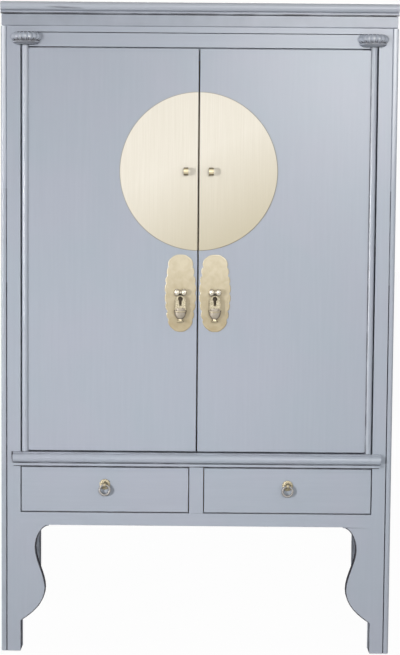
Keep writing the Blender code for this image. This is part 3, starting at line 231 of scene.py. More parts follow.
# dark wood where the lacquer is rubbed through, and also the colour of painted shade
RUB_AND_SHADE_DARK = srgb(48, 48, 57)
WOOD_PALE = srgb(196, 164, 124)
WOOD_DEEP = srgb(150, 113, 77)
DISC_PALE = srgb(223, 217, 204)
DISC_DEEP = srgb(188, 179, 155)
PLATE_PALE = srgb(193, 183, 159)
PLATE_DEEP = srgb(158, 143, 112)
CAST_PALE = srgb(204, 196, 180)
CAST_GREY = srgb(166, 157, 143)
CAST_WARM = srgb(190, 180, 154)
EYE_BRASS = srgb(212, 199, 166)
GOLDEN = srgb(167, 157, 132)
RING_GREY = srgb(148, 145, 142)
PATINA = srgb(72, 58, 36)
FLOOR_GREY = srgb(226, 226, 226)
WHITE = (1, 1, 1, 1)
SKY_WHITE = (0.97, 0.98, 1.0, 1)


# Shader nodes

def add_node(tree, kind, inputs=None, **settings):
    """Adds a shader node; each input is a plain value, or the output socket that feeds it."""
    made = tree.nodes.new("ShaderNode" + kind)
    for setting, value in settings.items():
        setattr(made, setting, value)
    for socket, value in (inputs or {}).items():
        if isinstance(value, bpy.types.NodeSocket):
            tree.links.new(value, made.inputs[socket])
        else:
            made.inputs[socket].default_value = value
    return made


def blend_colours(tree, share, first, second):
    """Mixes two colours; the Mix node's colour sockets are its inputs 6 and 7 and its output 2."""
    return add_node(tree, "Mix", {0: share, 6: first, 7: second}, data_type="RGBA").outputs[2]


def spread(tree, value, span, to=(0.0, 1.0)):
    """Carries a value from one range to another, held at the ends."""
    ranges = {"Value": value, "From Min": span[0], "From Max": span[1], "To Min": to[0], "To Max": to[1]}
    return add_node(tree, "MapRange", ranges).outputs["Result"]


def compute(tree, operation, first, second, **settings):
    """Works out a value from two others."""
    return add_node(tree, "Math", {0: first, 1: second}, operation=operation, **settings).outputs[0]


def times(tree, first, second):
    return compute(tree, "MULTIPLY", first, second)


def larger(tree, first, second):
    return compute(tree, "MAXIMUM", first, second)


NUMBER, VECTOR = "NodeSocketFloat", "NodeSocketVector"


def new_group(name, inputs, outputs):
    """An empty node group with named sockets: what it is given and what it puts out."""
    group = bpy.data.node_groups.new(name, "ShaderNodeTree")
    for way, sockets in (("INPUT", inputs), ("OUTPUT", outputs)):
        for socket, kind in sockets.items():
            group.interface.new_socket(socket, in_out=way, socket_type=kind)
    return group, group.nodes.new("NodeGroupInput").outputs, group.nodes.new("NodeGroupOutput").inputs


def brush_marks_group():
    """Long brush marks along a surface, and the slow drift of tone from one patch to the next."""
    group, given, result = new_group(
        "brush_marks",
        {"Vector": VECTOR, "Run": VECTOR, "Patch": NUMBER},
        {"Streak": NUMBER, "Drift": NUMBER},
    )
    run = {0: given["Vector"], 1: given["Run"]}
    stretched = add_node(group, "VectorMath", run, operation="MULTIPLY").outputs[0]
    long_marks = {"Vector": stretched, "Scale": 1.0, "Detail": 6.0, "Roughness": 0.62}
    wide_patches = {"Vector": given["Vector"], "Scale": given["Patch"], "Detail": 2.0, "Distortion": 0.4}
    group.links.new(add_node(group, "TexNoise", long_marks).outputs["Fac"], result["Streak"])
    group.links.new(add_node(group, "TexNoise", wide_patches).outputs["Fac"], result["Drift"])
    return group


def rub_and_shade_breakup_group():
    """Where the finish is rubbed through and where shade is painted: the marked places, broken up in patches
    as hands and cloths leave rubbing.
    """
    group, given, result = new_group(
        "rub_and_shade_breakup", {"Vector": VECTOR, "Edge": NUMBER, "Strength": NUMBER}, {"Mask": NUMBER})
    patches = add_node(group, "TexNoise", {"Vector": given["Vector"], "Scale": 16.0, "Detail": 4.0})
    broken = spread(group, patches.outputs["Fac"], (0.36, 0.60), (0.45, 1.0))
    on_edges = times(group, broken, given["Edge"])
    group.links.new(times(group, on_edges, given["Strength"]), result["Mask"])
    return group


def flank_shade_group():
    """Painted shade and dark reflection on the flanks of small brass: the more a face turns from the front,
    the darker.
    """
    group, given, result = new_group(
        "flank_shade", {"Normal": VECTOR, "Dark": NUMBER, "Bright": NUMBER}, {"Mask": NUMBER})
    forward = add_node(group, "SeparateXYZ", {"Vector": given["Normal"]}).outputs["Y"]
    frontal = add_node(group, "Math", {0: forward}, operation="ABSOLUTE").outputs[0]
    flanks = spread(group, frontal, (given["Dark"], given["Bright"]), (1.0, 0.0))
    group.links.new(flanks, result["Mask"])
    return group


BRUSH_MARKS = brush_marks_group()
RUB_AND_SHADE_BREAKUP = rub_and_shade_breakup_group()
FLANK_SHADE = flank_shade_group()

# Streaks per metre along x, y and z for pieces that run upright, level or front to back, and for brass
UPRIGHT = (150.0, 150.0, 5.0)
LEVEL = (5.0, 150.0, 150.0)
DEEP = (150.0, 5.0, 150.0)
DRAWN = (420.0, 420.0, 6.0)
BEATEN = (240.0, 240.0, 160.0)
CAST = (300.0, 300.0, 300.0)
MOST_STREAKS = (0.3, 0.7)  # nearly all of a noise lies in this range


def use_group(tree, group, **inputs):
    """Places a node group in a material and gives its outputs."""
    return add_node(tree, "Group", inputs, node_tree=group).outputs


def marked(tree, name):
    """How strongly the piece's own mesh is marked."""
    return add_node(tree, "Attribute", attribute_name=name).outputs["Fac"]


def new_material(name):
    """An empty node material: its tree, its surface output and the piece's own coordinates."""
    material = bpy.data.materials.new(name)
    material.use_nodes = True
    tree = material.node_tree
    tree.nodes.clear()
    surface = tree.nodes.new("ShaderNodeOutputMaterial").inputs["Surface"]
    own_place = add_node(tree, "TexCoord").outputs["Object"]
    return material, tree, surface, own_place


def coat(tree, surface, colour, roughness, height, depth, **plain):
    """Ends a material in one Principled shader with a bump of the given depth in metres."""
    bump = add_node(tree, "Bump", {"Height": height, "Distance": depth, "Strength": 0.6})
    inputs = {"Base Color": colour, "Roughness": roughness, "Normal": bump.outputs["Normal"], **plain}
    shader = add_node(tree, "BsdfPrincipled", inputs)
    tree.links.new(shader.outputs["BSDF"], surface)


def lacquer(name, run, rub_and_shade=0.9, gloss=0.0):
    """Satin grey-lavender lacquer with fine brush marks, rubbed through to dark wood on marked edges; marked
    places also take painted shade in the same dark colour, and painted light in a pale one.
    """
    material, tree, surface, own_place = new_material(name)
    marks = use_group(tree, BRUSH_MARKS, Vector=own_place, Run=run, Patch=4.5)
    lavender = spread(tree, marks["Drift"], (0.35, 0.65))
    paleness = spread(tree, marks["Streak"], (0.40, 0.75), (0.0, 0.24))
    colour = blend_colours(tree, lavender, LACQUER_COOL, LACQUER_LAVENDER)
    colour = blend_colours(tree, paleness, colour, LACQUER_PALE)
    colour = blend_colours(tree, marked(tree, "painted_light"), colour, HIGHLIGHT_PALE)
    rub_and_shade_mask = use_group(tree, RUB_AND_SHADE_BREAKUP, Vector=own_place, Edge=marked(tree, "rub_and_shade"), Strength=rub_and_shade)
    colour = blend_colours(tree, rub_and_shade_mask["Mask"], colour, RUB_AND_SHADE_DARK)
    roughness = spread(tree, marks["Streak"], MOST_STREAKS, (0.33 - gloss, 0.36 - gloss))
    mirror = {"Specular IOR Level": max(0.05, min(1.0, 0.65 + 3 * gloss))}
    coat(tree, surface, colour, roughness, marks["Streak"], 0.00005, **mirror)
    return material


def plain_wood(name, run):
    """Planed, unfinished boards with a soft figure and fine fibres along their run."""
    material, tree, surface, own_place = new_material(name)
    figure_run = tuple(step * 0.22 for step in run)
    fibre_run = tuple(step * 4 for step in run)
    figure = use_group(tree, BRUSH_MARKS, Vector=own_place, Run=figure_run, Patch=3.0)
    fibre = use_group(tree, BRUSH_MARKS, Vector=own_place, Run=fibre_run, Patch=9.0)
    grain = spread(tree, figure["Streak"], (0.35, 0.68))
    pores = spread(tree, fibre["Streak"], (0.45, 0.80), (0.0, 0.45))
    colour = blend_colours(tree, grain, WOOD_PALE, WOOD_DEEP)
    colour = blend_colours(tree, pores, colour, WOOD_DEEP)
    roughness = spread(tree, fibre["Streak"], MOST_STREAKS, (0.62, 0.78))
    coat(tree, surface, colour, roughness, fibre["Streak"], 0.0003)
    return material


def disc_brass(name):
    """Satin sheet brass, drawn with upright streaks, with painted shading deeper towards the lower right,
    and a dark border of tarnish and painted contact shadow.
    """
    material, tree, surface, own_place = new_material(name)
    middle = Vector((0, 0, DISC_LEVEL))
    lower_right = Vector((0.45, 0, -0.9))
    centred = add_node(tree, "Mapping", {"Vector": own_place, "Location": -middle}).outputs["Vector"]
    downhill = add_node(tree, "VectorMath", {0: centred, 1: lower_right}, operation="DOT_PRODUCT")
    marks = use_group(tree, BRUSH_MARKS, Vector=own_place, Run=DRAWN, Patch=5.0)
    # painted shading, deeper towards the lower right
    deepness = spread(tree, downhill.outputs["Value"], (-0.04, 0.22))
    streaks = spread(tree, marks["Streak"], (0.35, 0.75), (0.0, 0.22))
    colour = blend_colours(tree, deepness, DISC_PALE, DISC_DEEP)
    colour = blend_colours(tree, streaks, colour, DISC_DEEP)
    colour = blend_colours(tree, times(tree, marked(tree, "rub_and_shade"), 0.65), colour, PATINA)
    roughness = spread(tree, marks["Streak"], MOST_STREAKS, (0.50, 0.60))
    coat(tree, surface, colour, roughness, marks["Streak"], 0.00008, Metallic=0.25)
    return material


def crevices(tree, distance, span):
    """How deep a place lies in the piece's own hollows, from 0 in the open to 1 in a crevice."""
    shade = add_node(tree, "AmbientOcclusion", {"Distance": distance}, samples=8, only_local=True)
    return spread(tree, shade.outputs["AO"], span, (1.0, 0.0))


def plate_brass(name):
    """Pale beaten brass, warmer towards the foot, with patina in its hollows and painted shade behind the
    keyhole.
    """
    material, tree, surface, own_place = new_material(name)
    marks = use_group(tree, BRUSH_MARKS, Vector=own_place, Run=BEATEN, Patch=60.0)
    height = add_node(tree, "SeparateXYZ", {"Vector": own_place}).outputs["Z"]
    downward = spread(tree, height, (PLATE_LOW.z, PLATE_HIGH.z), (0.85, 0.0))
    patchy = spread(tree, marks["Drift"], (0.35, 0.70), (-0.12, 0.18))
    warmth = compute(tree, "ADD", downward, patchy, use_clamp=True)
    colour = blend_colours(tree, warmth, PLATE_PALE, PLATE_DEEP)
    hollow = times(tree, crevices(tree, 0.005, (0.55, 0.95)), 0.6)
    # painted shade on the plate behind the keyhole
    mirrored = add_node(tree, "VectorMath", {0: own_place}, operation="ABSOLUTE").outputs[0]
    middle = Vector((HANDLE_PIVOT.x, 0, HANDLE_PIVOT.z - KEYHOLE_LEVEL * HANDLE_DROP))
    shares = Vector((1 / KEYHOLE_SHADE_HALVES[0], 0, 1 / KEYHOLE_SHADE_HALVES[1]))
    behind = add_node(tree, "Mapping", {"Vector": mirrored, "Location": -middle * shares, "Scale": shares})
    reach = add_node(tree, "VectorMath", {0: behind.outputs["Vector"]}, operation="LENGTH").outputs["Value"]
    dark = larger(tree, hollow, spread(tree, reach, (0.55, 1.0), (0.95, 0.0)))
    colour = blend_colours(tree, dark, colour, PATINA)
    roughness = spread(tree, marks["Streak"], MOST_STREAKS, (0.36, 0.50))
    metallic = spread(tree, dark, (0.0, 1.0), (0.5, 0.0))
    coat(tree, surface, colour, roughness, marks["Drift"], 0.0004, Metallic=metallic)
    return material


def cast_brass(name, metal, stipple, smoothest, flank_shade=0.8, flank=(0.10, 0.72)):
    """Cast brass, bright in front, with painted shade and dark reflection on its flanks, patina in crevices,
    stippled where punched.
    """
    material, tree, surface, own_place = new_material(name)
    punch = add_node(tree, "TexVoronoi", {"Vector": own_place, "Scale": 380.0}, feature="F1")
    dots = spread(tree, punch.outputs["Distance"], (0.20, 0.50), (stipple, 0.0))
    facing = add_node(tree, "TexCoord").outputs["Normal"]
    # painted shade and dark reflection on the flanks
    flanks = use_group(tree, FLANK_SHADE, Normal=facing, Dark=flank[0], Bright=flank[1])["Mask"]
    hollow = times(tree, crevices(tree, 0.004, (0.40, 0.90)), 0.9)
    dark = larger(tree, times(tree, flanks, flank_shade), hollow)
    dark = larger(tree, dark, times(tree, dots, 0.85))
    colour = blend_colours(tree, dark, metal, PATINA)
    marks = use_group(tree, BRUSH_MARKS, Vector=own_place, Run=CAST, Patch=60.0)
    roughness = spread(tree, marks["Drift"], MOST_STREAKS, (smoothest, smoothest + 0.14))
    height = compute(tree, "SUBTRACT", marks["Streak"], dots)
    metallic = spread(tree, dark, (0.0, 1.0), (0.8, 0.0))
    coat(tree, surface, colour, roughness, height, 0.00015, Metallic=metallic)
    return material


FINISHES = {material.name: material for material in (
    lacquer("lacquer_upright", UPRIGHT),
    lacquer("lacquer_level", LEVEL),
    lacquer("lacquer_deep", DEEP),
    lacquer("lacquer_carved", UPRIGHT, rub_and_shade=1.35, gloss=0.16),
    lacquer("lacquer_turned", UPRIGHT, gloss=0.05),
    lacquer("lacquer_matt", UPRIGHT, gloss=-0.5),
    lacquer("lacquer_bead", UPRIGHT, gloss=0.02),
    plain_wood("wood_upright", UPRIGHT),
    plain_wood("wood_level", LEVEL),
    plain_wood("wood_deep", DEEP),
    disc_brass("disc_brass"),
    plate_brass("plate_brass"),
    cast_brass("polished_brass", CAST_PALE, stipple=0.0, smoothest=0.18, flank_shade=0.15),
    cast_brass("grey_brass", CAST_GREY, stipple=0.3, smoothest=0.46, flank_shade=1.0, flank=(0.45, 0.90)),
    cast_brass("stippled_brass", CAST_WARM, stipple=1.0, smoothest=0.34),
    cast_brass("golden_brass", GOLDEN, stipple=0.0, smoothest=0.40),
    cast_brass("ring_brass", RING_GREY, stipple=0.0, smoothest=0.42, flank_shade=0.6),
    cast_brass("eye_brass", EYE_BRASS, stipple=0.0, smoothest=0.34, flank_shade=0.9, flank=(0.62, 0.90)),
)}


# Shapes

def copy_of(node):
    """A CAD piece's shape with its loose triangles joined into whole faces, ready for marks of rubbing and
    painted shade.
    """
    shape = bmesh.new()
    shape.from_mesh(nodes[node].data)
    bmesh.ops.remove_doubles(shape, verts=shape.verts, dist=JOIN)
    bmesh.ops.dissolve_limit(shape, angle_limit=FLAT_LIMIT, verts=shape.verts, edges=shape.edges)
    shape.loops.layers.float.new("rub_and_shade")
    return shape


def levels_on(node, *shares):
    """Heights on a piece, given as shares of its own height."""
    low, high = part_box(node)
    return [low.z + share * (high.z - low.z) for share in shares]


def faces_where(shape, test):
    """The faces that a test chooses by their middle and their normal."""
    return [face for face in shape.faces if test(face.calc_center_median(), face.normal)]


def outer_edges(shape, shortest=0.0, chosen=lambda middle: True):
    """The long square outer edges of a piece, or those among them that a test chooses by their middle."""
    edges = []
    for edge in shape.edges:
        if len(edge.link_faces) != 2 or edge.calc_length() < shortest:
            continue
        middle = (edge.verts[0].co + edge.verts[1].co) / 2
        if edge.is_convex and edge.calc_face_angle(0) > SMOOTH_LIMIT and chosen(middle):
            edges.append(edge)
    return edges


def round_over(shape, edges, radius, segments=2):
    """Rounds edges over, and marks the rounding as rubbed along its middle."""
    if not edges:
        return
    made = bmesh.ops.bevel(shape, geom=edges, offset=radius, segments=segments, profile=0.5,
                           affect="EDGES", material=-1, clamp_overlap=True)
    rub_and_shade = shape.loops.layers.float.get("rub_and_shade")
    faces = set(made["faces"])
    if rub_and_shade:
        for face in faces:
            for loop in face.loops:
                loop[rub_and_shade] = float(all(other in faces for other in loop.vert.link_faces))


def mark_faces(shape, faces, strength):
    """Gives whole faces the dark mark: rubbing, dirt and painted shade."""
    rub_and_shade = shape.loops.layers.float.get("rub_and_shade")
    for face in faces:
        for loop in face.loops:
            loop[rub_and_shade] = strength


def mark_points(shape, strength_at, mark="rub_and_shade"):
    """Marks corners as a function of their place says: the dark mark for rubbing and painted shade, the pale
    one for painted light; between them the mark fades.
    """
    layers = shape.loops.layers.float
    layer = layers.get(mark) or layers.new(mark)
    for face in shape.faces:
        for loop in face.loops:
            loop[layer] = max(loop[layer], strength_at(loop.vert.co))


def fade(shape, faces, axis, place):
    """Takes the dark mark off marked faces where they reach a place along an axis."""
    rub_and_shade = shape.loops.layers.float.get("rub_and_shade")
    for face in faces:
        for loop in face.loops:
            if abs(loop.vert.co[axis] - place) < JOIN:
                loop[rub_and_shade] = 0.0


def use_finish(faces, number):
    """Gives faces another one of their piece's finishes, which count from 0."""
    for face in faces:
        face.material_index = number


def all_of(shape):
    return shape.verts[:] + shape.edges[:] + shape.faces[:]


def split_at(shape, axis, *places):
    """Cuts the faces of a shape across an axis at the given places, without parting them."""
    for place in places:
        point, normal = Vector((0, 0, 0)), Vector((0, 0, 0))
        point[axis], normal[axis] = place, 1.0
        bmesh.ops.bisect_plane(shape, geom=all_of(shape), plane_co=point, plane_no=normal)


def close_joint(shape, axis, place, reach):
    """Draws the faces at a place along an axis out to what they meet: lacquer hides these joints."""
    for vert in shape.verts:
        if abs(vert.co[axis] - place) < 2 * JOIN:
            vert.co[axis] += reach


def close_post_joints(shape):
    for sign in SIDES.values():
        close_joint(shape, X, sign * (INNER - JOINT_GAP), sign * JOINT_GAP)


def draw_out(shape, extruded, way):
    """Moves what an extrusion has just made."""
    verts = [part for part in extruded["geom"] if isinstance(part, bmesh.types.BMVert)]
    bmesh.ops.translate(shape, vec=way, verts=verts)


def thicken(shape, thickness):
    """Gives a flat shape a thickness upwards."""
    draw_out(shape, bmesh.ops.extrude_face_region(shape, geom=shape.faces[:]), (0, 0, thickness))
    bmesh.ops.recalc_face_normals(shape, faces=shape.faces)


def spin_round(shape, axis, steps=SPIN_STEPS, angle=FULL_TURN):
    """Spins what a shape holds about an axis through the origin."""
    bmesh.ops.spin(shape, geom=shape.verts[:] + shape.edges[:], cent=(0, 0, 0), axis=axis, dvec=(0, 0, 0),
                   angle=angle, steps=steps, use_merge=angle == FULL_TURN, use_duplicate=False)
    bmesh.ops.remove_doubles(shape, verts=shape.verts, dist=POLE_JOIN)
    bmesh.ops.recalc_face_normals(shape, faces=shape.faces)


def turned(profile, steps=SPIN_STEPS, angle=FULL_TURN):
    """A profile of (radius, height) points turned about the upright axis."""
    shape = bmesh.new()
    points = [shape.verts.new((radius, 0, height)) for radius, height in profile]
    for pair in zip(points, points[1:]):
        shape.edges.new(pair)
    spin_round(shape, (0, 0, 1), steps, angle)
    return shape


def sweep(start, pull, end, steps):
    """Points on a curve from start to end, drawn towards the pull point; the start isn't repeated."""
    points = []
    for step in range(1, steps + 1):
        share = step / steps
        points.append(tuple(
            a * (1 - share) ** 2 + 2 * b * share * (1 - share) + c * share ** 2
            for a, b, c in zip(start, pull, end)
        ))
    return points


def placed(shape, place, turn=None):
    """Turns a shape, then sets its origin at a place."""
    if turn:
        bmesh.ops.transform(shape, matrix=turn, verts=shape.verts)
    bmesh.ops.translate(shape, vec=place, verts=shape.verts)
    return shape


# What was made facing up faces the front; what was made upright lies across the cabinet
FACE_FRONT = Matrix.Rotation(math.pi / 2, 4, "X")
LIE_ACROSS = Matrix.Rotation(math.pi / 2, 4, "Y")


def mesh_of(name, shape):
    """The mesh of a shape that is done."""
    mesh = bpy.data.meshes.new(name)
    shape.to_mesh(mesh)
    shape.free()
    return mesh


def join(shape, other):
    """Adds another shape to this one."""
    carried = mesh_of("carried", other)
    shape.from_mesh(carried)
    bpy.data.meshes.remove(carried)


def add_object(name, data):
    made = bpy.data.objects.new(name, data)
    bpy.context.scene.collection.objects.link(made)
    return made


def finished(name, shape, body, slot, *finishes):
    """Makes a shape a piece of the cabinet with its finishes, even normals and the body it rides on."""
    for face in shape.faces:
        face.smooth = True
    for edge in shape.edges:
        edge.smooth = edge.calc_face_angle(0) < SMOOTH_LIMIT
    piece = add_object(name, mesh_of(name, shape))
    for finish in finishes:
        piece.data.materials.append(FINISHES[finish])
    even = piece.modifiers.new("even_normals", "WEIGHTED_NORMAL")
    even.keep_sharp = True
    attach(piece, body)
    return piece


def stand_in(node, shape, slot, *finishes):
    """A finished piece that stands for a CAD piece of the same body."""
    piece = finished(node + "_finished", shape, nodes[node]["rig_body"], slot, *finishes)
    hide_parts(node)


def keep_plain(node, finish):
    """A CAD piece that keeps its own shape gets a finish."""
    nodes[node].material_slots[0].material = FINISHES[finish]


# Carcass

def dress_rails():
    """Plain rails and the lintel, with their arrises eased."""
    for node in ("back_top_rail", "door_lintel", "back_bottom_rail"):
        shape = copy_of(node)
        close_post_joints(shape)
        round_over(shape, outer_edges(shape, RAIL_EDGE), ARRIS)
        stand_in(node, shape, "lacquer", "lacquer_level")
    for side in SIDES:
        for node in (f"{side}_top_rail", f"{side}_bottom_rail"):
            shape = copy_of(node)
            round_over(shape, outer_edges(shape, SIDE_EDGE), ARRIS)
            stand_in(node, shape, "lacquer", "lacquer_deep")


def dress_top_board():
    """The moulded top: painted shade on its lower edge and in its quirk, eased ends, painted light on its
    round and a rubbed streak on its left.
    """
    node = "top_board"
    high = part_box(node)[1]
    seam_top, quirk_foot, quirk_top, streak_level = levels_on(node, TOP_SEAM, *TOP_QUIRK, STREAK_SHARE)

    # painted shade in the quirk
    def in_quirk(point):
        return TOP_QUIRK_SHADE * (quirk_foot < point.z < quirk_top and point.y > FRONT - TOP_QUIRK_DEPTH)

    def on_streak(point):
        darkest = abs(point.x - STREAK_PLACES[1]) < JOIN and abs(point.z - streak_level) < STREAK_HALF
        return float(darkest and point.y < FRONT)

    # painted light on the round, stronger upwards
    def on_round(point):
        up = (point.z - quirk_top) / (high.z - quirk_top)
        return TOP_HIGHLIGHT[0] + TOP_HIGHLIGHT[1] * up ** 2 if up > 0 and point.y < FRONT else 0.0

    shape = copy_of(node)
    split_at(shape, X, *STREAK_PLACES)
    round_over(shape, outer_edges(shape, BOARD_EDGE), ARRIS)
    round_over(shape, outer_edges(shape, END_EDGE, lambda middle: abs(middle.x) > high.x - JOIN), ARRIS)
    split_at(shape, Z, seam_top)
    # painted shade under the overhang, on the board's lower edge
    seam = faces_where(shape, lambda middle, normal: middle.z < seam_top and normal.y < -LEANING)
    mark_faces(shape, seam, TOP_SEAM_SHADE)
    mark_points(shape, in_quirk)
    mark_points(shape, on_streak)
    mark_points(shape, on_round, "painted_light")
    stand_in(node, shape, "lacquer", "lacquer_level")


def dress_front_top_rail():
    """Frieze and header: painted shade in the seam under the top board, on the frieze and on the rounding
    under it.
    """
    node = "front_top_rail"
    seam_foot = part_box(node)[1].z - SEAM_HEIGHT
    shape = copy_of(node)
    close_post_joints(shape)
    # painted shade in the seam, on the frieze and on the rounding under it
    seam = faces_where(shape, lambda middle, normal: middle.z > seam_foot and middle.y < FRONT + SEAM_DEPTH)
    frieze = faces_where(shape, lambda middle, normal: middle.y < FRONT and normal.y < -FACING)
    rounding = faces_where(shape, lambda middle, normal: middle.y < FRONT and normal.z < -SOFFIT)
    mark_faces(shape, seam, SEAM_SHADE)
    mark_faces(shape, frieze, FRIEZE_SHADE)
    mark_faces(shape, rounding, FRIEZE_ROUND_SHADE)
    stand_in(node, shape, "lacquer", "lacquer_level")


def dress_waist_rail():
    """The moulded waist rail: painted shade on its lower edge, in its quirk, on the strip under the doors
    and at its left end, and painted light on its upper round.
    """
    node = "waist_rail"
    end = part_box(node)[0].x + WAIST_END
    seam_top, quirk_foot, quirk_top = levels_on(node, WAIST_SEAM, *WAIST_QUIRK)
    round_foot, round_top = levels_on(node, *WAIST_ROUND)
    shape = copy_of(node)
    # painted shade on the strip, in the quirk, under the fillet and at the left end; painted light on the
    # upper round
    strip = faces_where(shape, lambda middle, normal: middle.z > round_top)
    quirk = faces_where(shape, lambda middle, normal: quirk_foot < middle.z < quirk_top)
    mark_faces(shape, strip, WAIST_STRIP_SHADE)
    mark_faces(shape, quirk, WAIST_QUIRK_SHADE)
    split_at(shape, Z, seam_top)
    mark_faces(shape, faces_where(shape, lambda middle, normal: middle.z < seam_top), SEAM_SHADE)
    mark_points(shape, lambda point: WAIST_HIGHLIGHT * (round_foot < point.z < round_top), "painted_light")
    split_at(shape, X, end)
    shaded_end = faces_where(shape, lambda middle, normal: middle.x < end and middle.y < FRONT)
    mark_faces(shape, shaded_end, WAIST_END_SHADE)
    stand_in(node, shape, "lacquer", "lacquer_level")


def dress_front_bottom_rail():
    """The rail under the drawers, its lower arris eased between the brackets."""
    node = "front_bottom_rail"

    def between_brackets(middle):
        return abs(middle.x) < BRACKET_TIP and middle.z < LEG_HEIGHT + JOIN

    shape = copy_of(node)
    close_post_joints(shape)
    split_at(shape, X, -BRACKET_TIP, BRACKET_TIP)
    round_over(shape, outer_edges(shape, BOARD_EDGE, between_brackets), ARRIS)
    stand_in(node, shape, "lacquer", "lacquer_level")


def at_foot(middle):
    return middle.z < JOIN


def dress_front_post(side, sign):
    """A front post: a beaded corner with a dark quirk and a painted highlight at the top of the bead,
    painted shade on the lower left bead, and a leg with painted shade on its inner side.
    """
    node = f"front_{side}_post"
    post_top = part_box(node)[1].z
    bracket_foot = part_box(f"{side}_bracket")[0].z
    fade_out = FRONT + LEG_SHADE_DEPTH

    def in_quirk(middle, normal):
        beside_bead = QUIRK_PLACE[0] < abs(middle.x) < QUIRK_PLACE[1]
        return beside_bead and FRONT + JOIN < middle.y < FRONT + QUIRK_DEPTH

    def on_crest(point):
        in_front = BEAD_CREST[0] < abs(point.x) < BEAD_CREST[1] and point.y < FRONT + QUIRK_DEPTH
        return BEAD_HIGHLIGHT * (in_front and point.z > post_top - JOIN)

    def inside_leg(middle, normal):
        return abs(middle.x) < INNER + JOIN and middle.y < fade_out and middle.z < bracket_foot

    shape = copy_of(node)
    split_at(shape, Z, *QUIRK_LEVELS)
    for face in faces_where(shape, in_quirk):
        passed = sum(face.calc_center_median().z >= level for level in QUIRK_LEVELS)
        mark_faces(shape, [face], QUIRK_DARK[passed])
    bead = faces_where(shape, lambda middle, normal: abs(middle.x) > OUTER - BEAD_WIDTH)
    use_finish(bead, 1)
    lower_bead = [face for face in bead if face.calc_center_median().z < QUIRK_LEVELS[1]]
    # painted shade on the lower bead, and a painted highlight at its top
    mark_faces(shape, lower_bead, BEAD_SHADE[side])
    mark_points(shape, on_crest, "painted_light")
    split_at(shape, Z, bracket_foot)
    split_at(shape, Y, fade_out)
    # painted shade on the inner side of the leg, fading backwards
    shaded_side = faces_where(shape, inside_leg)
    mark_faces(shape, shaded_side, SAWN_AND_SHADE_DARK)
    fade(shape, shaded_side, Y, fade_out)
    use_finish(faces_where(shape, lambda middle, normal: normal.x * sign < -FACING), 2)
    round_over(shape, outer_edges(shape, chosen=at_foot), FOOT_ARRIS)
    stand_in(node, shape, "lacquer", "lacquer_upright", "lacquer_bead", "lacquer_matt")


def dress_back_post(side, sign):
    """A back post with rounded arrises, dull on its hidden sides, with painted shade on them below the rail.
    """
    node = f"back_{side}_post"
    shape = copy_of(node)
    split_at(shape, Z, LEG_HEIGHT)
    hidden = faces_where(shape, lambda middle, normal: normal.y < -FACING or normal.x * sign < -FACING)
    use_finish(hidden, 1)
    mark_faces(shape, [face for face in hidden if face.calc_center_median().z < LEG_HEIGHT], BACK_LEG_SHADE)
    round_over(shape, outer_edges(shape, RAIL_EDGE, lambda middle: abs(middle.x) > INNER + JOIN), BACK_ARRIS)
    round_over(shape, outer_edges(shape, chosen=at_foot), BACK_FOOT_ARRIS, segments=3)
    stand_in(node, shape, "lacquer", "lacquer_upright", "lacquer_matt")


def dress_posts():
    for side, sign in SIDES.items():
        dress_front_post(side, sign)
        dress_back_post(side, sign)


def dress_brackets():
    """Leg brackets: the sawn edge and a border along it in front are dark, partly rubbed dark wood and
    partly painted shade. No joint shows in front.
    """
    for side in SIDES:
        node = f"{side}_bracket"
        shape = copy_of(node)
        close_post_joints(shape)
        close_joint(shape, Z, LEG_HEIGHT - JOINT_GAP, JOINT_GAP)
        # dark wood and painted shade on the sawn edge and on the border in front of it
        sawn = faces_where(shape, lambda middle, normal: abs(normal.y) < LEANING)
        mark_faces(shape, sawn, SAWN_AND_SHADE_DARK)
        use_finish(sawn, 1)
        front = faces_where(shape, lambda middle, normal: normal.y < -FACING)
        border = bmesh.ops.inset_region(shape, faces=front, thickness=SAWN_BORDER, use_even_offset=False)
        for face in border["faces"]:
            middle = face.calc_center_median()
            if abs(middle.x) < INNER - SAWN_BORDER and middle.z < LEG_HEIGHT - SAWN_BORDER:
                mark_faces(shape, [face], SAWN_AND_SHADE_DARK)
        stand_in(node, shape, "lacquer", "lacquer_upright", "lacquer_matt")


def dress_panels():
    """Side and back panels, lacquered outside and plain inside."""
    outward = {"left_side_panel": Vector((-1, 0, 0)), "right_side_panel": Vector((1, 0, 0)),
               "back_panel": Vector((0, 1, 0))}
    for node, direction in outward.items():
        shape = copy_of(node)
        use_finish(faces_where(shape, lambda middle, normal: normal.dot(direction) <= LEANING), 1)
        stand_in(node, shape, "lacquer", "lacquer_upright", "wood_upright")


def rib_crest(angle, sharpness):
    """How near an angle round a capital is to the crest of a rib, from 0 in a valley to 1."""
    return abs(math.sin(CAPITAL_RIBS * angle)) ** sharpness


def off_middle(point, lip, tall):
    """How far a point is from half the height of the ribs, from 0 to 1 at their ends."""
    return abs(2 * (point.z - lip) / (tall - lip) - 1)


def rib_shade(point, lip, tall):
    """Painted shade on an unscaled capital: in the valleys, along the lip, towards the top and the wall."""
    if point.z < lip:
        return LIP_SHADE
    angle = math.atan2(point.y, point.x)
    valley = 1 - rib_crest(angle, 1.5)
    towards_ends = 0.7 * off_middle(point, lip, tall) ** 3
    towards_wall = 0.65 * abs(math.cos(angle)) ** 3
    return min(1.0, valley + towards_ends + towards_wall)


def rib_highlight(point, lip, tall):
    """Painted highlight on an unscaled capital: on the crests, at half their height and towards the front.
    """
    angle = math.atan2(point.y, point.x)
    at_half_height = max(0.0, 1 - 1.7 * off_middle(point, lip, tall))
    return 0.65 * rib_crest(angle, 3) * at_half_height * abs(math.sin(angle))


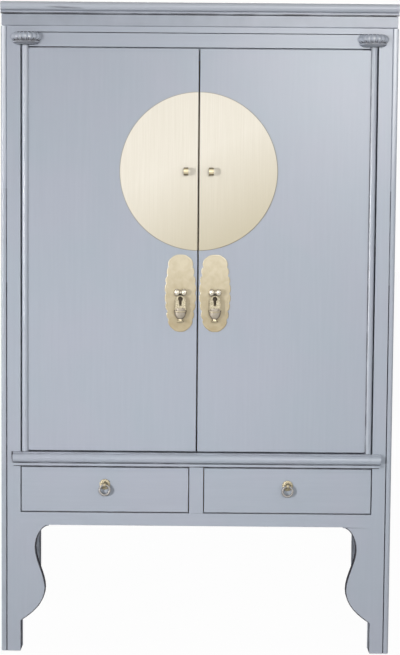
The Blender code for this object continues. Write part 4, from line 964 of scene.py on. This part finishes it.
def carve_capitals():
    """Ribbed half melons over a plain lip, carved finely over the plain capitals."""
    for side in SIDES:
        node = f"{side}_capital"
        low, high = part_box(node)
        half = (high.x - low.x) / 2
        proud = FRONT - low.y
        tall = high.z - low.z
        lip = tall * CAPITAL_LIP
        profile = [(0.0, 0.0), (0.62, 0.0), (0.64, lip * 0.06)]
        profile += sweep((0.64, lip * 0.06), (0.80, lip * 0.30), (0.845, lip * 0.72), 5)
        profile += [(0.845, lip * 0.88), (0.79, lip * 0.99)]
        profile += sweep((0.79, lip * 0.99), (1.20, (lip + tall) / 2), (0.76, tall), 14)
        profile += [(0.0, tall)]
        shape = turned(profile, CAPITAL_RIBS * RIB_STEPS, math.pi)
        for vert in shape.verts:
            reach = math.hypot(vert.co.x, vert.co.y)
            if vert.co.z < lip or reach < CAPITAL_CORE:
                continue
            valley = 1 - rib_crest(math.atan2(vert.co.y, vert.co.x), 0.75)
            share = 1 - valley * RIB_DEPTH / (reach * proud)
            vert.co.x *= share
            vert.co.y *= share
        # painted shade in the valleys and at the ends, and painted highlights on the crests
        mark_points(shape, lambda point: rib_shade(point, lip, tall))
        mark_points(shape, lambda point: rib_highlight(point, lip, tall), "painted_light")
        bmesh.ops.scale(shape, vec=(half + CAPITAL_COVER, -proud - CAPITAL_COVER, 1), verts=shape.verts)
        bmesh.ops.recalc_face_normals(shape, faces=shape.faces)
        placed(shape, ((low.x + high.x) / 2, FRONT, low.z))
        finished(f"{side}_capital_ribs", shape, "carcass", "lacquer", "lacquer_carved")
        keep_plain(node, "lacquer_upright")


def dress_inside():
    """Boards that are seen only with a door or a drawer open keep their CAD shapes and get plain wood, and
    the drawer divider keeps its shape and is lacquered.
    """
    for node in ("cupboard_floor", "shelf"):
        keep_plain(node, "wood_level")
    for place in ("left", "middle", "right"):
        keep_plain(f"{place}_drawer_runner", "wood_deep")
    keep_plain("drawer_divider", "lacquer_upright")


# Doors

def darken_edges(shape):
    """The narrow edges of a leaf or a drawer front take painted shade for the gaps round it; the softened
    arris is rubbed at the top and painted with shade at the sides and the foot.
    """
    slight, square = SOFTENED
    narrow = faces_where(shape, lambda middle, normal: abs(normal.y) < slight)
    arris = faces_where(shape, lambda middle, normal: slight < -normal.y < square)
    mark_faces(shape, narrow, EDGE_SHADE)
    mark_faces(shape, arris, ARRIS_RUB_AND_SHADE["top"])
    mark_faces(shape, [face for face in arris if abs(face.normal.x) > slight], ARRIS_RUB_AND_SHADE["sides"])
    mark_faces(shape, [face for face in arris if face.normal.z < -slight], ARRIS_RUB_AND_SHADE["foot"])


def dress_face_board(node, lacquered, wooden):
    """A door leaf or a drawer front: lacquered in front and plain behind."""
    shape = copy_of(node)
    use_finish(faces_where(shape, lambda middle, normal: normal.y > LEANING), 1)
    darken_edges(shape)
    stand_in(node, shape, "lacquer", lacquered, wooden)


def dress_doors():
    """Door leaves, their turned columns and their battens."""
    for side, sign in SIDES.items():
        dress_face_board(f"{side}_door_leaf", "lacquer_upright", "wood_upright")
        node = f"{side}_door_column"
        column = copy_of(node)
        # painted shade on the inner flank of a column
        inner_flank = faces_where(column, lambda middle, normal: normal.x * sign < -FLANK)
        mark_faces(column, inner_flank, COLUMN_SHADE[side])
        stand_in(node, column, "lacquer", "lacquer_turned")
        for level in ("upper", "lower"):
            keep_plain(f"{side}_door_{level}_batten", "wood_level")


def cut_disc():
    """The two halves of the round face plate, cut from one sheet along the split between the doors."""
    radius = (DISC_HIGH.z - DISC_LOW.z) / 2 + DISC_LIP

    # the dark border: tarnish and a painted contact shadow
    def on_border(point):
        return float(math.hypot(point.x, point.z - DISC_LEVEL) > radius - 2 * BRASS_ARRIS)

    for side, sign in SIDES.items():
        node = f"{side}_disc"
        low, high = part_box(node)
        split = low.x if sign > 0 else high.x
        shape = bmesh.new()
        bmesh.ops.create_circle(shape, cap_ends=True, radius=radius, segments=DISC_STEPS)
        bmesh.ops.bisect_plane(shape, geom=all_of(shape), plane_co=(split, 0, 0), plane_no=(sign, 0, 0),
                               clear_inner=True)
        thicken(shape, DISC_HIGH.y - DISC_LOW.y)
        placed(shape, (0, high.y, DISC_LEVEL), FACE_FRONT)
        rim = [edge for edge in outer_edges(shape)
               if any(face.normal.y < -FACING for face in edge.link_faces)]
        round_over(shape, rim, BRASS_ARRIS)
        front = faces_where(shape, lambda middle, normal: normal.y < -FLUSH)
        bmesh.ops.inset_region(shape, faces=front, thickness=DISC_BORDER, use_even_offset=True)
        mark_points(shape, on_border)
        stand_in(node, shape, "brass", "disc_brass")


def dress_lock_eyes():
    for side in SIDES:
        node = f"{side}_lock_eye"
        shape = copy_of(node)
        round_over(shape, outer_edges(shape), BRASS_ARRIS)
        stand_in(node, shape, "brass", "eye_brass")


def cut_plate(shape, middle, wide, tall):
    """Leaves the front of a plain plate in one face, with deeper notches, rounded ends and no bores."""

    def on_bore(edge):
        return edge.is_boundary and all(
            abs(vert.co.x - middle.x) < BORE_REACH[0] * wide
            and abs(vert.co.z - middle.z) < BORE_REACH[1] * tall
            for vert in edge.verts
        )

    behind = faces_where(shape, lambda centre, normal: normal.y > -FACING)
    bmesh.ops.delete(shape, geom=behind, context="FACES")
    bmesh.ops.holes_fill(shape, edges=[edge for edge in shape.edges if on_bore(edge)], sides=0)
    field = bmesh.ops.dissolve_faces(shape, faces=shape.faces[:], use_verts=False)["region"][0]
    for loop in field.loops:
        if not loop.is_convex:
            loop.vert.co.x -= math.copysign(NOTCH_DEPTH, loop.vert.co.x - middle.x)
    long_edges = [edge for edge in field.edges if edge.calc_length() > 2 * PLATE_END_ROUNDING]
    corners = [vert for vert in field.verts if any(edge in long_edges for edge in vert.link_edges)]
    bmesh.ops.bevel(shape, geom=corners, offset=PLATE_END_ROUNDING, segments=PLATE_END_STEPS, profile=0.5,
                    affect="VERTICES", material=-1, clamp_overlap=True)


def beat_plates():
    """Scalloped handle plates with a rounded rim, a hollow inside it and a low swell in the field."""
    for side in SIDES:
        node = f"{side}_handle_plate"
        low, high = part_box(node)
        middle = (low + high) / 2
        wide, thick, tall = high - low
        shape = copy_of(node)
        cut_plate(shape, middle, wide, tall)
        field = next(iter(shape.faces))
        outline = [edge for edge in shape.edges if edge.is_boundary]
        draw_out(shape, bmesh.ops.extrude_edge_only(shape, edges=outline), (0, thick, 0))
        for inward, forward in PLATE_RINGS:
            bmesh.ops.inset_individual(shape, faces=[field], thickness=JOIN, depth=0.0)
            shares = Vector((1 - 2 * inward / wide, 1, 1 - 2 * inward / tall))
            bmesh.ops.translate(shape, vec=-middle, verts=field.verts)
            bmesh.ops.scale(shape, vec=shares, verts=field.verts)
            bmesh.ops.translate(shape, vec=middle + Vector((0, -forward, 0)), verts=field.verts)
        bmesh.ops.recalc_face_normals(shape, faces=shape.faces)
        stand_in(node, shape, "brass", "plate_brass")


def turn_bosses():
    """A pair of ball knobs on collared stems, with the hinge pin between them."""
    for side in SIDES:
        node = f"{side}_handle_boss"
        low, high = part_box(node)
        plate_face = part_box(f"{side}_handle_plate")[0].y
        pivot = JOINT_PLACES[f"{side}_handle_lift"]
        standoff = plate_face - pivot.y
        ball = BALL_FULLNESS * (high.z - low.z) / 2
        collar, stem, pin = COLLAR_SHARE * ball, STEM_SHARE * ball, PIN_SHARE * ball
        seat, edge, slope, neck = -0.001, 0.0010, 0.0016, 0.0018
        profile = [(0.0, seat), (collar, seat), (collar, edge), (0.62 * ball, slope), (stem, neck)]
        start = math.asin(stem / ball)
        for step in range(BALL_STEPS + 1):
            angle = start + (math.pi - start) * step / BALL_STEPS
            profile.append((max(ball * math.sin(angle), 0.0), standoff - ball * math.cos(angle)))
        shape = bmesh.new()
        reach = ball + KNUCKLE_HALF
        for sign in SIDES.values():
            knob = placed(turned(profile), (0, 0, 0), FACE_FRONT)
            bmesh.ops.scale(knob, vec=(1.0, 1.0, BALL_HEIGHT), verts=knob.verts)
            join(shape, placed(knob, (pivot.x + sign * reach, plate_face, pivot.z)))
        rod = turned([(0.0, -reach), (pin, -reach), (pin, reach), (0.0, reach)], SPIN_STEPS // 2)
        join(shape, placed(rod, pivot, LIE_ACROSS))
        stand_in(node, shape, "pale_brass", "polished_brass")


def turn_basket(node, pivot):
    """The basket of a drop handle: a rim, a bowl and a foot, flattened from front to back."""
    low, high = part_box(node)
    wide, deep, _ = high - low
    drop, half = pivot.z - low.z, wide / 2
    profile = [(0.0, 0.525), (0.70, 0.525), (0.745, 0.531), (0.745, 0.540), (0.72, 0.546)]
    profile += sweep((0.72, 0.546), (0.74, 0.580), (0.80, 0.588), 4)
    profile += [(0.95, 0.590), (0.99, 0.597), (1.0, 0.605), (1.0, 0.618), (0.95, 0.622), (0.95, 0.628),
                (1.0, 0.632), (1.0, 0.643), (0.97, 0.651), (0.86, 0.655), (0.86, 0.660), (0.93, 0.664)]
    profile += sweep((0.93, 0.664), (0.86, 0.800), (0.42, 0.872), 12)
    profile += [(0.31, 0.877), (0.28, 0.882), (0.28, 0.897)]
    profile += sweep((0.28, 0.897), (0.32, 0.945), (0.54, 0.958), 6)
    profile += sweep((0.54, 0.958), (0.60, 0.992), (0.0, 1.0), 6)
    shape = turned([(radius * half, -fall * drop) for radius, fall in profile])
    bmesh.ops.scale(shape, vec=(1, deep / wide, 1), verts=shape.verts)
    # lighter brass on the rim and the foot: polish and a painted highlight
    for foot, top in BRIGHT_BANDS:
        use_finish(faces_where(shape, lambda middle, normal: foot < -middle.z / drop < top), 1)
    stand_in(node, placed(shape, pivot), "pale_brass", "grey_brass", "eye_brass")


def outline_arch(shape, drop, half):
    """The outline of a handle's arch, round above and square below, bridged to the keyhole in it."""
    top, foot, wide = 0.104 * drop, 0.590 * drop, 0.853 * half
    straight = foot - top - wide
    squareness = 1.5
    rim = bmesh.ops.create_circle(shape, cap_ends=False, radius=wide, segments=ARCH_STEPS)["verts"]
    for vert in rim:
        if vert.co.y < 0:
            vert.co.x = max(-wide, min(wide, squareness * vert.co.x))
            vert.co.y = max(-straight, squareness * vert.co.y * straight / wide)
    bmesh.ops.translate(shape, vec=(0, -top - wide, 0), verts=rim)
    hole = 0.37 * half
    hole_level, slot_foot, slot_half = -KEYHOLE_LEVEL * drop, -0.441 * drop, 0.48 * hole
    keyhole = bmesh.ops.create_circle(shape, cap_ends=False, radius=hole, segments=ARCH_STEPS)["verts"]
    for vert in keyhole:
        if vert.co.y < 0 and abs(vert.co.x) < slot_half:
            vert.co.y = slot_foot - hole_level
    bmesh.ops.translate(shape, vec=(0, hole_level, 0), verts=keyhole)
    bmesh.ops.bridge_loops(shape, edges=shape.edges[:])


def cast_arch(name, node, pivot):
    """The pierced arch of a drop handle with its punched, sunk front, and the hinge eye over it."""
    low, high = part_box(node)
    drop, half = pivot.z - low.z, (high.x - low.x) / 2
    thick = 0.35 * half
    shape = bmesh.new()
    outline_arch(shape, drop, half)
    thicken(shape, thick)
    front = faces_where(shape, lambda middle, normal: middle.z > thick - JOIN)
    bmesh.ops.inset_region(shape, faces=front, thickness=ARCH_RIM, depth=0.0)
    bmesh.ops.inset_region(shape, faces=front, thickness=ARCH_SLOPE, depth=-ARCH_SINK)
    placed(shape, pivot + Vector((0, thick / 2, 0)), FACE_FRONT)
    eye, side = high.z - pivot.z, KNUCKLE_HALF
    bore, shoulder = eye * 0.5, eye * 0.92
    knuckle = [(bore, -side), (shoulder, -side), (eye, -side * 0.6), (eye, side * 0.6), (shoulder, side),
               (bore, side), (bore, -side)]
    join(shape, placed(turned(knuckle, KNUCKLE_STEPS), pivot, LIE_ACROSS))
    use_finish(faces_where(shape, lambda middle, normal: middle.z > pivot.z - eye), 1)
    finished(name, shape, nodes[node]["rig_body"], "pale_brass", "stippled_brass", "polished_brass")


def cast_drop_handles():
    for side in SIDES:
        node = f"{side}_drop_handle"
        pivot = JOINT_PLACES[f"{side}_handle_lift"]
        turn_basket(node, pivot)
        cast_arch(f"{side}_handle_arch", node, pivot)


# Drawers

def dress_drawers():
    for side in SIDES:
        dress_face_board(f"{side}_drawer_front", "lacquer_level", "wood_level")
        for wall in ("inner_side", "outer_side", "bottom"):
            keep_plain(f"{side}_drawer_{wall}", "wood_deep")
        keep_plain(f"{side}_drawer_back", "wood_level")


def dome_petals(name, node, place):
    """A petalled dome over a rosette's backplate."""
    low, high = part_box(node)
    radius = (high.x - low.x) / 2
    shape = bmesh.new()
    rim = bmesh.ops.create_circle(shape, cap_ends=True, radius=radius, segments=PETALS * PETAL_STEPS)
    for vert in rim["verts"]:
        angle = math.atan2(vert.co.y, vert.co.x)
        share = 1 - PETAL_NOTCH * (1 - abs(math.sin(PETALS * angle / 2)) ** 0.6)
        vert.co.x *= share
        vert.co.y *= share
    thicken(shape, PETAL_RISE)
    crown = faces_where(shape, lambda middle, normal: normal.z > FACING)
    for inward, upward in PETAL_RINGS:
        bmesh.ops.inset_region(shape, faces=crown, thickness=inward, depth=upward, use_even_offset=True)
    placed(shape, place, FACE_FRONT)
    finished(name, shape, nodes[node]["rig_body"], "brass", "golden_brass")


def bend_ring(node):
    """A ring of round wire."""
    low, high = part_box(node)
    wire = RING_FULLNESS * (high.y - low.y) / 2
    shape = bmesh.new()
    section = bmesh.ops.create_circle(shape, cap_ends=False, radius=wire, segments=WIRE_STEPS)["verts"]
    bmesh.ops.translate(shape, vec=((high.x - low.x) / 2 - wire, 0, 0), verts=section)
    spin_round(shape, (0, 1, 0))
    stand_in(node, placed(shape, (low + high) / 2), "pale_brass", "ring_brass")


def dress_pulls():
    """Petalled rosettes domed over their backplates, and the rings that hang from them."""
    for side in SIDES:
        hinge = JOINT_PLACES[f"{side}_ring_lift"]
        drawer_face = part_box(f"{side}_drawer_front")[0].y
        node = f"{side}_pull_rosette"
        shape = copy_of(node)
        round_over(shape, outer_edges(shape, ROSETTE_EDGE), BRASS_ARRIS)
        stand_in(node, shape, "brass", "golden_brass")
        dome_petals(f"{side}_pull_petals", node, (hinge.x, drawer_face - PETAL_SEAT, hinge.z))
        bend_ring(f"{side}_pull_ring")


# Stage

def seen_directly(tree):
    """1 for what the camera sees, straight or in a reflection or through glass; 0 for light on surfaces."""
    path = add_node(tree, "LightPath").outputs
    mirrored = larger(tree, path["Is Camera Ray"], path["Is Glossy Ray"])
    return larger(tree, mirrored, path["Is Transmission Ray"])


def lay_floor():
    """A wide floor that looks white to the camera and in reflections, and still takes the shadow."""
    material, tree, surface, _ = new_material("floor_white")
    paper = add_node(tree, "BsdfPrincipled", {"Base Color": FLOOR_GREY, "Roughness": 0.9})
    glow = add_node(tree, "Emission", {"Color": WHITE, "Strength": 1.0})
    seen = times(tree, seen_directly(tree), FLOOR_GLOW)
    mixed = add_node(tree, "MixShader", {0: seen, 1: paper.outputs["BSDF"], 2: glow.outputs["Emission"]})
    tree.links.new(mixed.outputs["Shader"], surface)
    shape = bmesh.new()
    bmesh.ops.create_grid(shape, x_segments=1, y_segments=1, size=FLOOR_HALF)
    floor = add_object("floor", mesh_of("floor", shape))
    floor.data.materials.append(material)


def hang_backdrop():
    """A white world to look at, that lights the cabinet more softly."""
    world = bpy.data.worlds.new("white_studio")
    bpy.context.scene.world = world
    world.use_nodes = True
    tree = world.node_tree
    tree.nodes.clear()
    soft = add_node(tree, "Background", {"Color": SKY_WHITE, "Strength": 0.03})
    white = add_node(tree, "Background", {"Color": WHITE, "Strength": 1.0})
    mixed = add_node(tree, "MixShader", {0: seen_directly(tree), 1: soft.outputs[0], 2: white.outputs[0]})
    tree.links.new(mixed.outputs["Shader"], tree.nodes.new("ShaderNodeOutputWorld").inputs["Surface"])


def place_lamp(name, place, aim, power, **settings):
    """An area lamp, turned to what it lights."""
    data = bpy.data.lights.new(name, "AREA")
    data.energy = power
    for setting, value in settings.items():
        setattr(data, setting, value)
    turn = (Vector(aim) - Vector(place)).to_track_quat("-Z", "Y").to_matrix().to_4x4()
    add_object(name, data).matrix_world = Matrix.Translation(place) @ turn


def light_studio():
    """Lamps in front, at both sides and behind.

    The left one throws the lock eyes' shadows, and the right box fills them. The front one is mirrored in
    the satin lacquer at the top right, and the strips in the beads and columns.
    """
    place_lamp("left_lamp", place=(-4.4, FRONT - 4.8, 1.27), aim=(0, FRONT, 0.68), power=13.0,
               size=0.36, spread=math.radians(40))
    place_lamp("right_box", place=(2.6, FRONT - 2.0, 0.45), aim=(0, FRONT, 0.9), power=5, size=2.0)
    place_lamp("front_lamp", place=(0.93, FRONT - 4.0, 2.18), aim=(0.3, FRONT, 1.4), power=58, size=1.1)
    place_lamp("back_box", place=(0.8, 4.2, 2.4), aim=(0, BACK, 0.9), power=60, size=2.6)
    for side, sign in SIDES.items():
        place_lamp(f"{side}_strip", place=(sign * 2.4, FRONT - 1.0, 1.80), aim=(sign * 0.4, FRONT, 1.50),
                   power=9, shape="RECTANGLE", size=0.25, size_y=1.10)


def set_camera():
    """The photograph's viewpoint, in front of the cabinet and a little above the middle."""
    data = bpy.data.cameras.new("photo_camera")
    data.sensor_fit = "VERTICAL"
    data.sensor_height = FILM_HEIGHT
    data.lens = CAMERA_LENS
    turn = Matrix.Rotation(math.radians(CAMERA_TURN), 4, "Z")
    tilt = Matrix.Rotation(math.radians(90 - CAMERA_TILT), 4, "X")
    roll = Matrix.Rotation(math.radians(CAMERA_ROLL), 4, "Z")
    camera = add_object("photo_camera", data)
    camera.matrix_world = Matrix.Translation(CAMERA_PLACE) @ turn @ tilt @ roll
    bpy.context.scene.camera = camera


dress_rails()
dress_top_board()
dress_front_top_rail()
dress_waist_rail()
dress_front_bottom_rail()
dress_posts()
dress_brackets()
dress_panels()
carve_capitals()
dress_inside()
dress_doors()
cut_disc()
dress_lock_eyes()
beat_plates()
turn_bosses()
cast_drop_handles()
dress_drawers()
dress_pulls()
lay_floor()
hang_backdrop()
light_studio()
set_camera()
bpy.context.scene.view_settings.view_transform = "Standard"
